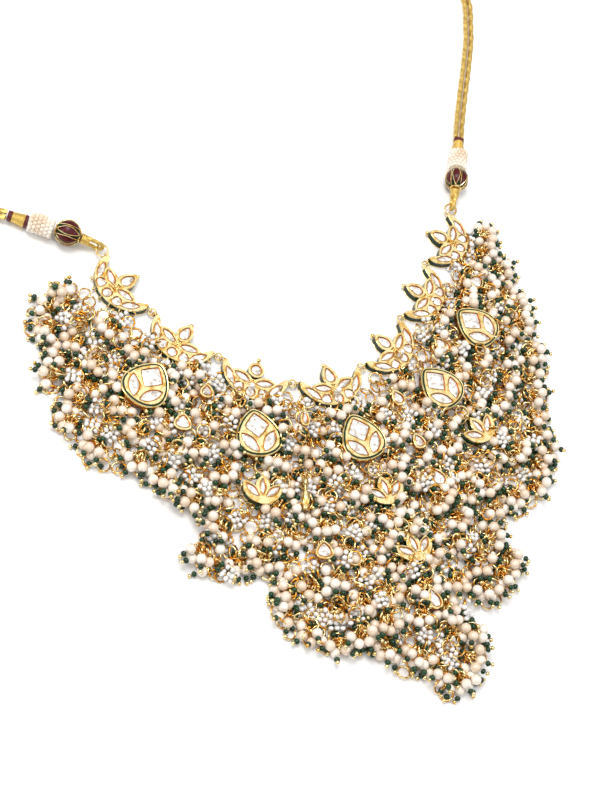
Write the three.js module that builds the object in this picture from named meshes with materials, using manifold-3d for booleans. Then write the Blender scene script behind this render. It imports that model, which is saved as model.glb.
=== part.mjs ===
import * as THREE from "three";
import { mergeVertices } from "three/addons/utils/BufferGeometryUtils.js";
import Module from "manifold-3d";

// Kundan necklace laid flat on a table, its neck opening towards +Y.
// Millimetres, +Z up, the table top at z = 0.

const wasm = await Module();
wasm.setup();

// Clearance between pieces that meet
const GAP = 0.3;

// Crescent plaques of the neckline
const CRESCENT_SPAN = 24.0;
const CRESCENT_DRAW_IN = 2.0;
const CRESCENT_BAND = 4.8;
const CRESCENT_HEIGHT = 3.0;
const HORN_HALF_WIDTH = 0.45;
const CRESCENT_STEPS = 10;
const STONE_HEIGHT = 0.9;
const TABLE_SHARE = 0.62;

// Turn of each plaque's horn line, left to right, in degrees
const CRESCENT_TURNS = [-70, -50, -34, 2, 35, 47, 47];
const MIDDLE_CRESCENT = 3;
const MIDDLE_CRESCENT_PLACE = [0, 1.483];
const ROUND_TOPPED_CRESCENT = "crescent_3";

// Cells of a crescent, each a share of its span: length, width, place across and down
const HORN_STONE = [0.308, 0.125];
const HORN_STONE_OUT = 0.025;
const HORN_STONE_ANGLES = [218, 322];
const BAND_STONE = [0.192, 0.175];
const BAND_STONE_ANGLES = [247, 293];
const MIDDLE_STONE = [0.167, 0.167];
const SIDE_PETAL = { plate: [0.383, 0.208], stone: [0.258, 0.125], across: 0.171, down: 0.221, turn: 18 };
const TOP_PETAL = { plate: [0.333, 0.233], stone: [0.217, 0.15], down: 0.008 };
const ROUND_PETAL = { plate: [0.258, 0.258], stone: [0.183, 0.183], down: 0.033 };
const HEART = { width: 0.225, down: 0.258 };
const TIP_BALL = { radius: 0.038, up: 0.192 };
const TIP_STALK = { length: 0.183, width: 0.058, up: 0.125, low: 0.33, high: 0.67 };

// Fixed eyes and the jump rings that hook through them
const EYE_RADIUS = 1.05;
const EYE_WIRE = 0.28;
const EYE_REACH = 0.8;
const EYE_HEIGHT = 1.8;
const LINK_RADIUS = 1.45;
const LINK_WIRE = 0.33;
const HANGER_RADIUS = 2.6;
const RING_SEGMENTS = 10;
const WIRE_SIDES = 5;
const EYE_SEGMENTS = 8;
const EYE_SIDES = 4;

// Pear pendants
const PEAR_LENGTH = 18.5;
const PEAR_WIDTH = 16.5;
const PEAR_THICKNESS = 3.8;
const PENDANT_FLOOR = 2.3;

// Stones of a pear, as shares of its length and width
const PEAR_STONES = {
  kite: { size: [0.46, 0.5], up: 0.17 },
  leaf: { size: [0.48, 0.22], across: 0.23, down: 0.19, turn: 34 },
};

// Lotus plaques and small drops
const LOTUS_PETAL_LENGTH = 9.4;
const LOTUS_PETAL_WIDTH = 4.8;
const LOTUS_THICKNESS = 3.0;
const LOTUS_FAN = 48;
const LOTUS_STONE = [0.62, 0.55];
const LOTUS_HEART = 0.71;
const DROP_THICKNESS = 2.4;
const DROP_STONE = 0.66;

// Fringe of pearl tassels
const LOCK_HALF_WIDTH = 3.3;
const LOCK_HEIGHT = 3.5;
const SPINE_HALF_WIDTH = 1.3;
const SPINE_HEIGHT = 1.9;
const MAT_HEIGHT = 3.0;
const MAT_REACH = 0.86;

// Fittings at the two ends
const END_RING_RADIUS = 2.4;
const END_RING_WIRE = 0.36;
const LOOP_CORD = 0.85;
const LOOP_TURN = 1.8;
const LOOP_LENGTH = 9.0;
const BEAD_DIAMETER = 10.0;
const SLEEVE_LENGTH = 9.4;
const SLEEVE_DIAMETER = 8.2;
const FERRULE_LENGTH = 7.6;
const FERRULE_DIAMETER = 5.4;
const ROUND_SIDES = 12;

// Dori cord: two strands and the slider that gathers them behind the neck
const STRAND_DIAMETER = 2.1;
const STRAND_SPACING = 2.5;
const STRAND_SIDES = 8;
const STRAND_STEPS = 48;
const SLIDER_LENGTH = 11.0;
const SLIDER_WALL = 0.7;

// Middle of the laid-out jewel without its cord, as shares of a plaque's span, moved onto the axes
const CENTRE = [-0.1796, 0.7075];

const COLOURS = {
  gold: [0xd9b15a, 0.3, 1.0],
  pearl: [0xf0e6d2, 0.3, 0.0],
  enamel: [0x2a4a38, 0.25, 0.0],
  thread: [0xc9a352, 0.6, 0.2],
};

const radians = (degrees) => (degrees * Math.PI) / 180;

const direction = (degrees) => [Math.cos(radians(degrees)), Math.sin(radians(degrees))];

const step = (place, degrees, distance) => {
  const [x, y] = direction(degrees);
  return [place[0] + x * distance, place[1] + y * distance];
};

// A point of the layout, given as shares of a plaque's span
const laidOut = ([x, y]) => [x * CRESCENT_SPAN, y * CRESCENT_SPAN];

const solidOf = (geometry) => {
  const bare = new THREE.BufferGeometry();
  bare.setAttribute("position", geometry.getAttribute("position"));
  bare.setIndex(geometry.getIndex());
  const merged = mergeVertices(bare, 1e-4);
  const mesh = new wasm.Mesh({
    numProp: 3,
    vertProperties: Float32Array.from(merged.getAttribute("position").array),
    triVerts: Uint32Array.from(merged.getIndex().array),
  });
  return new wasm.Manifold(mesh);
};

// Flat faces that fusing cut up are made whole again
const MERGE_TOLERANCE = 0.12;

const geometryOf = (solid) => {
  const mesh = solid.asOriginal().simplify(MERGE_TOLERANCE).getMesh();
  const geometry = new THREE.BufferGeometry();
  geometry.setAttribute("position", new THREE.BufferAttribute(Float32Array.from(mesh.vertProperties), 3));
  geometry.setIndex(Array.from(mesh.triVerts));
  const flat = geometry.toNonIndexed();
  flat.computeVertexNormals();
  return flat;
};

const fuse = (solids) => solids.reduce((whole, solid) => whole.add(solid));

// Upright prism over an outline of [x, y] points
const prism = (outline, low, high) => {
  const shape = new THREE.Shape(outline.map(([x, y]) => new THREE.Vector2(x, y)));
  const geometry = new THREE.ExtrudeGeometry(shape, { depth: high - low, bevelEnabled: false });
  geometry.translate(0, 0, low);
  return solidOf(geometry);
};

// Closed skin over a row of sections with equal numbers of points
const loft = (sections) => {
  const sides = sections[0].length;
  const points = sections.flat();
  const faces = [];
  for (let row = 0; row < sections.length - 1; row += 1) {
    for (let side = 0; side < sides; side += 1) {
      const next = (side + 1) % sides;
      const a = row * sides + side;
      const b = row * sides + next;
      faces.push(a, b, b + sides, a, b + sides, a + sides);
    }
  }
  const last = (sections.length - 1) * sides;
  for (let side = 1; side < sides - 1; side += 1) {
    faces.push(0, side + 1, side);
    faces.push(last, last + side, last + side + 1);
  }
  const geometry = new THREE.BufferGeometry();
  geometry.setAttribute("position", new THREE.Float32BufferAttribute(points.flat(), 3));
  geometry.setIndex(faces);
  return solidOf(geometry);
};

const moved = (solid, place, turn = 0) => {
  const [x, y, z = 0] = place;
  return solid.rotate([0, 0, turn]).translate([x, y, z]);
};

// Pointed oval outline, length along x
const marquise = (length, width, points = 8) => {
  const outline = [];
  for (let index = 0; index < points; index += 1) {
    const angle = (index / points) * Math.PI * 2;
    const across = Math.sin(angle);
    outline.push([(length / 2) * Math.cos(angle), (width / 2) * across * Math.abs(across) ** 0.25]);
  }
  return outline;
};

// Pear outline, point towards +x
const pear = (length, width, points = 8) => {
  const outline = [];
  for (let index = 0; index < points; index += 1) {
    const angle = (index / points) * Math.PI * 2;
    const narrowing = 1 - 0.32 * (1 + Math.cos(angle));
    outline.push([(length / 2) * Math.cos(angle), (width / 2) * Math.sin(angle) * (narrowing + 0.32)]);
  }
  return outline;
};

// Flat-topped cut stone: a facet on every side of its outline and a table
const cutStone = (outline, floor) => {
  const sunk = GAP / 2;
  const low = outline.map(([x, y]) => [x, y, floor - sunk]);
  const high = outline.map(([x, y]) => [x * TABLE_SHARE, y * TABLE_SHARE, floor + STONE_HEIGHT]);
  return loft([low, high]);
};

// Ring of round wire lying flat, its hole along z
const flatRing = (radius, wire) => solidOf(new THREE.TorusGeometry(radius, wire, WIRE_SIDES, RING_SEGMENTS));

// Eye standing on edge, its hole along y
const uprightEye = () => {
  const eye = solidOf(new THREE.TorusGeometry(EYE_RADIUS, EYE_WIRE, EYE_SIDES, EYE_SEGMENTS));
  return eye.rotate([90, 0, 0]).translate([0, 0, EYE_HEIGHT]);
};

// Crescent plaque

const crescentOutline = () => {
  const outer = [];
  const inner = [];
  for (let index = 0; index <= CRESCENT_STEPS; index += 1) {
    const share = index / CRESCENT_STEPS;
    const [x, y] = direction(180 + 180 * share);
    const fullness = Math.sin(Math.PI * share);
    const middle = CRESCENT_SPAN / 2 - CRESCENT_DRAW_IN * fullness;
    const swell = (CRESCENT_BAND / 2 - HORN_HALF_WIDTH) * Math.sqrt(Math.max(fullness, 0));
    const half = HORN_HALF_WIDTH + swell;
    outer.push([x * (middle + half), y * (middle + half)]);
    inner.push([x * (middle - half), y * (middle - half)]);
  }
  return [...outer, ...inner.reverse()];
};

const CRESCENT_DEPTH = CRESCENT_SPAN / 2 - CRESCENT_DRAW_IN + CRESCENT_BAND / 2;
const BAND_RADIUS = CRESCENT_SPAN / 2 - CRESCENT_DRAW_IN;

const ofSpan = (shares) => shares.map((share) => share * CRESCENT_SPAN);

const crescentStones = () => {
  const horns = HORN_STONE_ANGLES.map((angle) => {
    const place = step([0, 0], angle, BAND_RADIUS + HORN_STONE_OUT * CRESCENT_SPAN);
    return moved(cutStone(marquise(...ofSpan(HORN_STONE)), CRESCENT_HEIGHT), place, angle + 90);
  });
  const pears = BAND_STONE_ANGLES.map((angle) => {
    const place = step([0, 0], angle, BAND_RADIUS);
    return moved(cutStone(pear(...ofSpan(BAND_STONE)), CRESCENT_HEIGHT), place, angle + 180);
  });
  const middle = cutStone(marquise(...ofSpan(MIDDLE_STONE)), CRESCENT_HEIGHT);
  return [...horns, ...pears, moved(middle, step([0, 0], 270, BAND_RADIUS))];
};

const sidePetal = (side) => {
  const turn = side > 0 ? SIDE_PETAL.turn : 180 - SIDE_PETAL.turn;
  const place = laidOut([side * SIDE_PETAL.across, -SIDE_PETAL.down]);
  const plate = moved(prism(marquise(...ofSpan(SIDE_PETAL.plate)), 0, CRESCENT_HEIGHT), place, turn);
  const stone = moved(cutStone(marquise(...ofSpan(SIDE_PETAL.stone)), CRESCENT_HEIGHT), place, turn);
  return plate.add(stone);
};

const topPetal = (round) => {
  const petal = round ? ROUND_PETAL : TOP_PETAL;
  const form = round ? marquise : pear;
  const place = laidOut([0, -petal.down]);
  const plate = moved(prism(form(...ofSpan(petal.plate), 10), 0, CRESCENT_HEIGHT), place, 90);
  const stone = moved(cutStone(form(...ofSpan(petal.stone)), CRESCENT_HEIGHT), place, 90);
  const ball = solidOf(new THREE.SphereGeometry(TIP_BALL.radius * CRESCENT_SPAN, 6, 4));
  const tip = moved(ball, [...laidOut([0, TIP_BALL.up]), CRESCENT_HEIGHT / 2]);
  const bar = marquise(TIP_STALK.length * CRESCENT_SPAN, TIP_STALK.width * CRESCENT_SPAN, 6);
  const stalk = prism(bar, TIP_STALK.low * CRESCENT_HEIGHT, TIP_STALK.high * CRESCENT_HEIGHT);
  return fuse([plate, stone, tip, moved(stalk, laidOut([0, TIP_STALK.up]), 90)]);
};

const crescent = (roundTop) => {
  const plate = prism(crescentOutline(), 0, CRESCENT_HEIGHT);
  const width = HEART.width * CRESCENT_SPAN;
  const heart = moved(prism(marquise(width, width), 0, CRESCENT_HEIGHT - GAP), laidOut([0, -HEART.down]));
  const reach = CRESCENT_SPAN / 2 + HORN_HALF_WIDTH + EYE_REACH;
  const left = uprightEye().translate([-reach, 0, 0]);
  const right = uprightEye().translate([reach, 0, 0]);
  const lower = moved(uprightEye(), step([0, 0], 270, CRESCENT_DEPTH + EYE_REACH), 90);
  const petals = [sidePetal(-1), sidePetal(1), topPetal(roundTop)];
  return fuse([plate, heart, left, right, lower, ...petals, ...crescentStones()]);
};

// Row of crescents, chained outwards from the middle one

const HORN_REACH = CRESCENT_SPAN / 2 + HORN_HALF_WIDTH + EYE_REACH;

const layRow = () => {
  const places = [];
  const links = [];
  places[MIDDLE_CRESCENT] = laidOut(MIDDLE_CRESCENT_PLACE);
  for (const side of [-1, 1]) {
    let index = MIDDLE_CRESCENT;
    while (CRESCENT_TURNS[index + side] !== undefined) {
      const turn = CRESCENT_TURNS[index];
      const nextTurn = CRESCENT_TURNS[index + side];
      const between = (turn + nextTurn) / 2;
      const eye = step(places[index], turn, side * HORN_REACH);
      const centre = step(eye, between, side * LINK_RADIUS);
      const nextEye = step(centre, between, side * LINK_RADIUS);
      places[index + side] = step(nextEye, nextTurn, side * HORN_REACH);
      links[side < 0 ? index - 1 : index] = centre;
      index += side;
    }
  }
  return { places, links };
};

const row = layRow();

const hornEye = (index, side) => step(row.places[index], CRESCENT_TURNS[index], side * HORN_REACH);

const lowerEye = (index) =>
  step(row.places[index], CRESCENT_TURNS[index] + 270, CRESCENT_DEPTH + EYE_REACH);

// Pear pendant, its upper eye at the origin and its body towards -y

const PEAR_TOP = EYE_REACH;
const PEAR_MIDDLE = PEAR_TOP + PEAR_LENGTH / 2;
const PEAR_FOOT = PEAR_TOP + PEAR_LENGTH + EYE_REACH;

const pearPendant = (carriesLotus) => {
  const { kite, leaf } = PEAR_STONES;
  const ofPear = ([long, wide]) => [long * PEAR_LENGTH, wide * PEAR_WIDTH];
  const body = moved(prism(pear(PEAR_LENGTH, PEAR_WIDTH, 14), 0, PEAR_THICKNESS), [0, -PEAR_MIDDLE], 90);
  const upper = cutStone(marquise(...ofPear(kite.size)), PEAR_THICKNESS);
  const leaves = [-1, 1].map((side) => {
    const place = [side * leaf.across * PEAR_WIDTH, -PEAR_MIDDLE - leaf.down * PEAR_LENGTH];
    return moved(cutStone(marquise(...ofPear(leaf.size)), PEAR_THICKNESS), place, 90 - side * leaf.turn);
  });
  const kiteStone = moved(upper, [0, -PEAR_MIDDLE + kite.up * PEAR_LENGTH], 90);
  const head = uprightEye().rotate([0, 0, 90]);
  const pendant = fuse([body, kiteStone, ...leaves, head]);
  return carriesLotus ? pendant.add(head.translate([0, -PEAR_FOOT, 0])) : pendant;
};

// Lotus plaque, its upper eye at the origin and its petals below

const LOTUS_TOP = EYE_REACH;
const LOTUS_ROOT = LOTUS_TOP + LOTUS_PETAL_LENGTH;

const lotus = () => {
  const petals = [-1, 0, 1].map((fan) => {
    const turn = 90 - fan * LOTUS_FAN;
    const place = step([0, -LOTUS_ROOT], turn, LOTUS_PETAL_LENGTH / 2);
    const outline = marquise(LOTUS_PETAL_LENGTH, LOTUS_PETAL_WIDTH);
    const plate = moved(prism(outline, 0, LOTUS_THICKNESS), place, turn);
    const gem = marquise(LOTUS_PETAL_LENGTH * LOTUS_STONE[0], LOTUS_PETAL_WIDTH * LOTUS_STONE[1]);
    return plate.add(moved(cutStone(gem, LOTUS_THICKNESS), place, turn));
  });
  const width = LOTUS_HEART * LOTUS_PETAL_WIDTH;
  const heart = prism(marquise(width, width), 0, LOTUS_THICKNESS + GAP).translate([0, -LOTUS_ROOT, 0]);
  const head = uprightEye().rotate([0, 0, 90]);
  return fuse([...petals, heart, head]);
};

// Small collet drop, its upper eye at the origin

const smallDrop = (length, width) => {
  const place = [0, -(EYE_REACH + length / 2)];
  const collet = moved(prism(pear(length, width, 10), 0, DROP_THICKNESS), place, 90);
  const stone = moved(cutStone(pear(length * DROP_STONE, width * DROP_STONE), DROP_THICKNESS), place, 90);
  return fuse([collet, stone, uprightEye().rotate([0, 0, 90])]);
};

// Fringe lock: a soft tapering bundle that swells where the pearls lie

const LOCK_SECTIONS = [
  [0.4, 0.42, 0.5],
  [0.74, 1.0, 1.0],
  [1.0, 0.42, 0.5],
];

const bundleSection = (place, turn, halfWidth, height) => {
  const [x, y] = direction(turn + 90);
  const corners = [[-1, 0.45], [-0.6, 0], [0.6, 0], [1, 0.45], [0.55, 1], [-0.55, 1]];
  return corners.map(([across, up]) => [
    place[0] + x * across * halfWidth,
    place[1] + y * across * halfWidth,
    up * height,
  ]);
};

const lock = (root, tip) => {
  const turn = (Math.atan2(tip[1] - root[1], tip[0] - root[0]) * 180) / Math.PI;
  const length = Math.hypot(tip[0] - root[0], tip[1] - root[1]);
  const sections = LOCK_SECTIONS.map(([share, wide, high]) =>
    bundleSection(step(root, turn, length * share), turn, LOCK_HALF_WIDTH * wide, LOCK_HEIGHT * high),
  );
  return loft(sections);
};

const spine = (route) => {
  const sections = route.map((place, index) => {
    const before = route[Math.max(index - 1, 0)];
    const after = route[Math.min(index + 1, route.length - 1)];
    const turn = (Math.atan2(after[1] - before[1], after[0] - before[0]) * 180) / Math.PI;
    return bundleSection(place, turn, SPINE_HALF_WIDTH, SPINE_HEIGHT);
  });
  return loft(sections);
};

// Point just beyond a plaque's lower eye, where a bunch starts
const rootAt = (index) =>
  step(lowerEye(index), CRESCENT_TURNS[index] + 270, EYE_RADIUS + EYE_WIRE + 2 * GAP);

// Fringe: the chain that each bunch hangs from, and each lock as [station on the chain, tip].
// Points are shares of a plaque's span.
const BUNCHES = [
  {
    root: 0,
    route: [[-3.62, 3.33], [-3.88, 3.21]],
    locks: [
      [1, [-3.71, 4.04]], [1, [-4.08, 3.88]], [2, [-4.46, 3.54]], [2, [-4.5, 3.08]], [1, [-4.12, 2.83]],
      [0, [-3.5, 2.88]],
    ],
  },
  {
    route: [[-2.33, 2.12], [-2.75, 1.92], [-3.25, 1.67], [-3.67, 1.42]],
    locks: [
      [1, [-3.25, 2.71]], [2, [-3.96, 2.46]], [3, [-4.62, 2.08]], [3, [-4.54, 1.54]], [3, [-4.29, 1]],
      [2, [-3.67, 0.62]],
      [1, [-3, 0.92]], [0, [-2.58, 1.08]],
    ],
  },
  {
    route: [[-1.33, 1.21], [-1.58, 0.58], [-1.92, -0.17], [-2.33, -0.67]],
    locks: [
      [0, [-1.96, 1.17]], [1, [-2.58, 0.54]], [2, [-3, -0.17]], [3, [-3.42, -0.88]],
      [3, [-2.96, -1.29]], [3, [-2.38, -1.5]],
      [2, [-1.83, -1]], [1, [-1.25, -0.15]],
    ],
  },
  {
    route: [[-0.71, 1], [-0.79, 0.33], [-0.92, -0.5], [-1.17, -1.33], [-1.42, -1.92]],
    locks: [
      [3, [-1.83, -1.58]], [4, [-2.42, -1.96]], [4, [-2.17, -2.46]], [4, [-1.71, -2.79]],
      [4, [-1.12, -2.92]], [3, [-0.79, -2.08]],
      [2, [-0.5, -1.17]], [1, [-0.38, -0.42]],
    ],
  },
  {
    route: [[-0.04, 0.75], [0.08, 0], [0.12, -0.92], [0.21, -1.83], [0.21, -2.75]],
    locks: [
      [2, [-0.25, -1.75]], [3, [-0.33, -2.58]], [4, [-0.79, -3.33]], [4, [-0.42, -3.83]],
      [4, [0.21, -4]], [4, [0.71, -3.67]],
      [4, [0.96, -3.08]], [3, [0.75, -2.42]], [2, [0.62, -1.58]], [1, [0.54, -0.75]],
    ],
  },
  {
    route: [[0.51, 1.19], [0.83, 0.42], [1.04, -0.5], [1.25, -1.5], [1.42, -1.92]],
    locks: [
      [4, [1.21, -2.79]], [4, [1.96, -2.62]], [4, [2.08, -2]], [3, [1.83, -1.42]],
      [2, [1.62, -0.79]], [1, [1.38, 0.12]],
    ],
  },
  {
    route: [[1.54, 1.33], [1.79, 0.58], [2.17, -0.17], [2.5, -0.71]],
    locks: [
      [3, [2.42, -1.58]], [3, [2.92, -1.33]], [3, [3.33, -1]], [3, [3.46, -0.38]],
      [2, [2.92, 0.12]], [1, [2.5, 0.67]],
      [0, [2.17, 1.12]], [0, [2.08, 1.5]],
    ],
  },
  {
    route: [[2.58, 2.29], [2.92, 1.83], [3.29, 1.38], [3.54, 1]],
    locks: [
      [0, [3.21, 2.62]], [1, [3.96, 2.5]], [2, [4.21, 1.96]], [3, [4.12, 1.33]], [3, [4, 0.75]],
      [3, [3.67, 0.25]], [2, [3.17, 0.67]], [1, [2.75, 1.25]],
    ],
  },
  {
    root: 6,
    route: [[3.75, 3.17]],
    locks: [[1, [4.17, 3.67]], [1, [4.29, 3.21]], [1, [4.08, 2.75]]],
  },
];

const laidBunch = ({ root, route, locks }) => ({
  route: [...(root === undefined ? [] : [rootAt(root)]), ...route.map(laidOut)],
  locks: locks.map(([station, tip]) => [station, laidOut(tip)]),
});

// Dense middle of a bunch: its edge runs between the locks
const mat = (route, locks) => {
  const edge = locks.map(([station, tip]) => {
    const [x, y] = route[station];
    return [x + (tip[0] - x) * MAT_REACH, y + (tip[1] - y) * MAT_REACH];
  });
  return prism([route[0], ...edge], 0, MAT_HEIGHT);
};

const bunch = ({ route, locks }, hollows) => {
  const bundles = locks.map(([station, tip]) => lock(route[station], tip));
  const whole = fuse([spine(route.slice(0, 2)), mat(route, locks), ...bundles]);
  return hollows.reduce((rest, hollow) => rest.subtract(hollow), whole);
};

// Room left in the fringe above its lowest layer for a pendant to lie in
const pocket = (outline, place, turn, floor = PENDANT_FLOOR) =>
  moved(prism(outline, floor - GAP, floor + 4 * PEAR_THICKNESS), place, turn);

// End fittings, laid along +x from the origin

const alongX = (profile) => {
  const points = profile.map(([along, radius]) => new THREE.Vector2(radius, along));
  const geometry = new THREE.LatheGeometry(points, ROUND_SIDES);
  return solidOf(geometry).rotate([0, 0, -90]);
};

// Profiles of the end fittings, as shares of length and of radius
const BEAD_PROFILE = [[0, 0], [0, 0.4], [0.15, 0.74], [0.5, 1], [0.85, 0.74], [1, 0.4], [1, 0]];
const SLEEVE_PROFILE = [[0, 0], [0, 0.8], [0.25, 1], [0.75, 1], [1, 0.8], [1, 0]];
const FERRULE_PROFILE = [
  [0, 0], [0, 0.85], [0.12, 1], [0.22, 0.9], [0.78, 0.9], [0.88, 1], [1, 0.85], [1, 0],
];

const fitting = (profile, length, diameter) =>
  alongX(profile.map(([along, out]) => [along * length, (out * diameter) / 2]));

// Skin over sections that run round and meet their own start
const closedLoft = (sections) => {
  const sides = sections[0].length;
  const rows = sections.length;
  const faces = [];
  for (let row = 0; row < rows; row += 1) {
    for (let side = 0; side < sides; side += 1) {
      const next = (side + 1) % sides;
      const a = row * sides + side;
      const b = row * sides + next;
      const c = ((row + 1) % rows) * sides + next;
      const d = ((row + 1) % rows) * sides + side;
      faces.push(a, b, c, a, c, d);
    }
  }
  const geometry = new THREE.BufferGeometry();
  geometry.setAttribute("position", new THREE.Float32BufferAttribute(sections.flat().flat(), 3));
  geometry.setIndex(faces);
  return solidOf(geometry);
};

const cordLoop = () => {
  const straight = LOOP_LENGTH - 2 * (LOOP_TURN + LOOP_CORD);
  const corners = [];
  for (let index = 0; index < ROUND_SIDES; index += 1) {
    const angle = (index + 0.5) * ((2 * Math.PI) / ROUND_SIDES);
    const end = Math.cos(angle) > 0 ? straight : 0;
    corners.push([end + Math.cos(angle) * LOOP_TURN, Math.sin(angle) * LOOP_TURN, angle]);
  }
  const sections = corners.map(([x, z, angle]) => {
    const section = [];
    for (let side = 0; side < 6; side += 1) {
      const around = (side / 6) * Math.PI * 2;
      const out = Math.cos(around) * LOOP_CORD;
      section.push([x + Math.cos(angle) * out, Math.sin(around) * LOOP_CORD, z + Math.sin(angle) * out]);
    }
    return section;
  });
  return closedLoft(sections).translate([LOOP_TURN + LOOP_CORD, 0, 0]);
};

const enamelBead = () => fitting(BEAD_PROFILE, BEAD_DIAMETER, BEAD_DIAMETER);

const pearlSleeve = () => fitting(SLEEVE_PROFILE, SLEEVE_LENGTH, SLEEVE_DIAMETER);

const ferrule = () => fitting(FERRULE_PROFILE, FERRULE_LENGTH, FERRULE_DIAMETER);

// Dori cord: middle line from the left ferrule round behind the neck to the right one,
// its points as shares of a plaque's span

const DORI_ROUTE = [
  [-4.792, 5.833], [-5.083, 6.917], [-5.042, 8], [-4.583, 9], [-3.667, 9.667], [-2.292, 9.917],
  [-0.833, 9.958], [0.833, 9.958],
  [2.5, 9.958], [4, 9.833], [5.042, 9.333], [5.542, 8.542], [5.292, 7.667], [4.917, 6.917], [4.542, 6.25],
];
const DORI_REST = STRAND_DIAMETER / 2 + 0.1;
const DORI_LEAD = 6;
const SLIDER_HALF_HEIGHT = STRAND_DIAMETER / 2 + GAP + SLIDER_WALL;
const SLIDER_HALF_WIDTH = STRAND_SPACING / 2 + SLIDER_HALF_HEIGHT;
const SLIDER_PLACE = [0, 9.958];
const NEAR_SLIDER = 2 * SLIDER_LENGTH;

// The strands are lifted where the slider holds them
const restHeight = (x) => (Math.abs(x) < NEAR_SLIDER ? SLIDER_HALF_HEIGHT : DORI_REST);

const strand = (start, end, side) => {
  const middle = [
    start.cord,
    start.lead,
    ...DORI_ROUTE.map(laidOut).map(([x, y]) => [x, y, restHeight(x)]),
    end.lead,
    end.cord,
  ];
  const line = new THREE.CatmullRomCurve3(middle.map((point) => new THREE.Vector3(...point)));
  const offset = [];
  for (let index = 0; index <= STRAND_STEPS; index += 1) {
    const share = index / STRAND_STEPS;
    const point = line.getPointAt(share);
    const along = line.getTangentAt(share);
    const across = new THREE.Vector3(-along.y, along.x, 0).normalize();
    offset.push(point.addScaledVector(across, (side * STRAND_SPACING) / 2));
  }
  const section = new THREE.Shape();
  for (let index = 0; index < STRAND_SIDES; index += 1) {
    const [x, y] = direction((360 * (index + 0.5)) / STRAND_SIDES);
    const radius = STRAND_DIAMETER / 2;
    if (index === 0) {
      section.moveTo(x * radius, y * radius);
    } else {
      section.lineTo(x * radius, y * radius);
    }
  }
  section.closePath();
  const path = new THREE.CatmullRomCurve3(offset);
  const options = { steps: STRAND_STEPS, extrudePath: path, bevelEnabled: false };
  return solidOf(new THREE.ExtrudeGeometry(section, options));
};

const slider = () => {
  const round = (halfWidth, halfHeight) => [
    [halfWidth, -halfHeight * 0.5], [halfWidth, halfHeight * 0.5], [halfWidth * 0.8, halfHeight],
    [-halfWidth * 0.8, halfHeight], [-halfWidth, halfHeight * 0.5], [-halfWidth, -halfHeight * 0.5],
    [-halfWidth * 0.8, -halfHeight], [halfWidth * 0.8, -halfHeight],
  ];
  const wall = prism(round(SLIDER_HALF_WIDTH, SLIDER_HALF_HEIGHT), 0, SLIDER_LENGTH);
  const slot = prism(
    round(SLIDER_HALF_WIDTH - SLIDER_WALL, SLIDER_HALF_HEIGHT - SLIDER_WALL), -GAP, SLIDER_LENGTH + GAP,
  );
  return wall.subtract(slot).rotate([90, 0, 90]).translate([-SLIDER_LENGTH / 2, 0, 0]);
};

// Where each pendant hangs

const PEAR_TURNS = [-50, -8, 6, 27, 34];
const LOTUS_TURNS = { pear_2: -20, pear_3: 3, pear_4: 24 };
const LOW_LOTUS = { place: [0.229, -1.271], turn: 6 };

const HANGER_RUN = Math.sqrt((2 * HANGER_RADIUS) ** 2 - PENDANT_FLOOR ** 2);
const HANGER_TILT = (Math.asin(PENDANT_FLOOR / (2 * HANGER_RADIUS)) * 180) / Math.PI;

const pears = PEAR_TURNS.map((turn, index) => {
  const from = lowerEye(index + 1);
  return { name: `pear_${index + 1}`, turn, from, place: step(from, turn + 270, HANGER_RUN) };
});

const underPear = (above) => {
  const turn = LOTUS_TURNS[above.name];
  const from = step(above.place, above.turn + 270, PEAR_FOOT);
  return { turn, from, place: step(from, turn + 270, 2 * HANGER_RADIUS) };
};

const lowLotus = () => {
  const place = laidOut(LOW_LOTUS.place);
  return { turn: LOW_LOTUS.turn, place, from: step(place, LOW_LOTUS.turn + 90, 2 * HANGER_RADIUS) };
};

const carriesLotus = ({ name }) => name in LOTUS_TURNS;

const lotuses = [...pears.filter(carriesLotus).map(underPear), lowLotus()];

// Small drops: the upper eye's place, turn, length and width, in shares of a plaque's span
const DROPS = [
  [[-2.5, 1.333], -25, 0.267, 0.258],
  [[-1.083, -1.083], -18, 0.275, 0.267],
  [[1.042, -0.375], 14, 0.317, 0.242],
  [[2, 1.75], 20, 0.317, 0.258],
  [[3, 2.667], 60, 0.275, 0.25],
  [[0.25, -2.167], 4, 0.333, 0.208],
];

const EYE_ROOM = EYE_RADIUS + EYE_WIRE + GAP;
const RING_ROOM = HANGER_RADIUS + LINK_WIRE + GAP;

const rectangle = (halfWidth, low, high) => [
  [-halfWidth, low], [halfWidth, low], [halfWidth, high], [-halfWidth, high],
];

const hangerPocket = ({ place, turn }, floor) =>
  pocket(rectangle(RING_ROOM, -EYE_ROOM, 2 * HANGER_RADIUS + EYE_ROOM), place, turn, floor);

const grown = (outline, room) =>
  outline.map(([x, y]) => {
    const reach = Math.hypot(x, y);
    return [x * (1 + room / reach), y * (1 + room / reach)];
  });

const PEAR_ROOM = 4 * GAP;
const PETAL_ROOM = 1.5 * GAP;

const pearPockets = pears.map((item) => {
  const outline = grown(pear(PEAR_LENGTH, PEAR_WIDTH, 10), PEAR_ROOM);
  const body = outline.map(([x, y]) => [-y, x - PEAR_MIDDLE]);
  return pocket(body, item.place, item.turn).add(hangerPocket(item, EYE_HEIGHT - 2 * LINK_WIRE));
});

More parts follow.
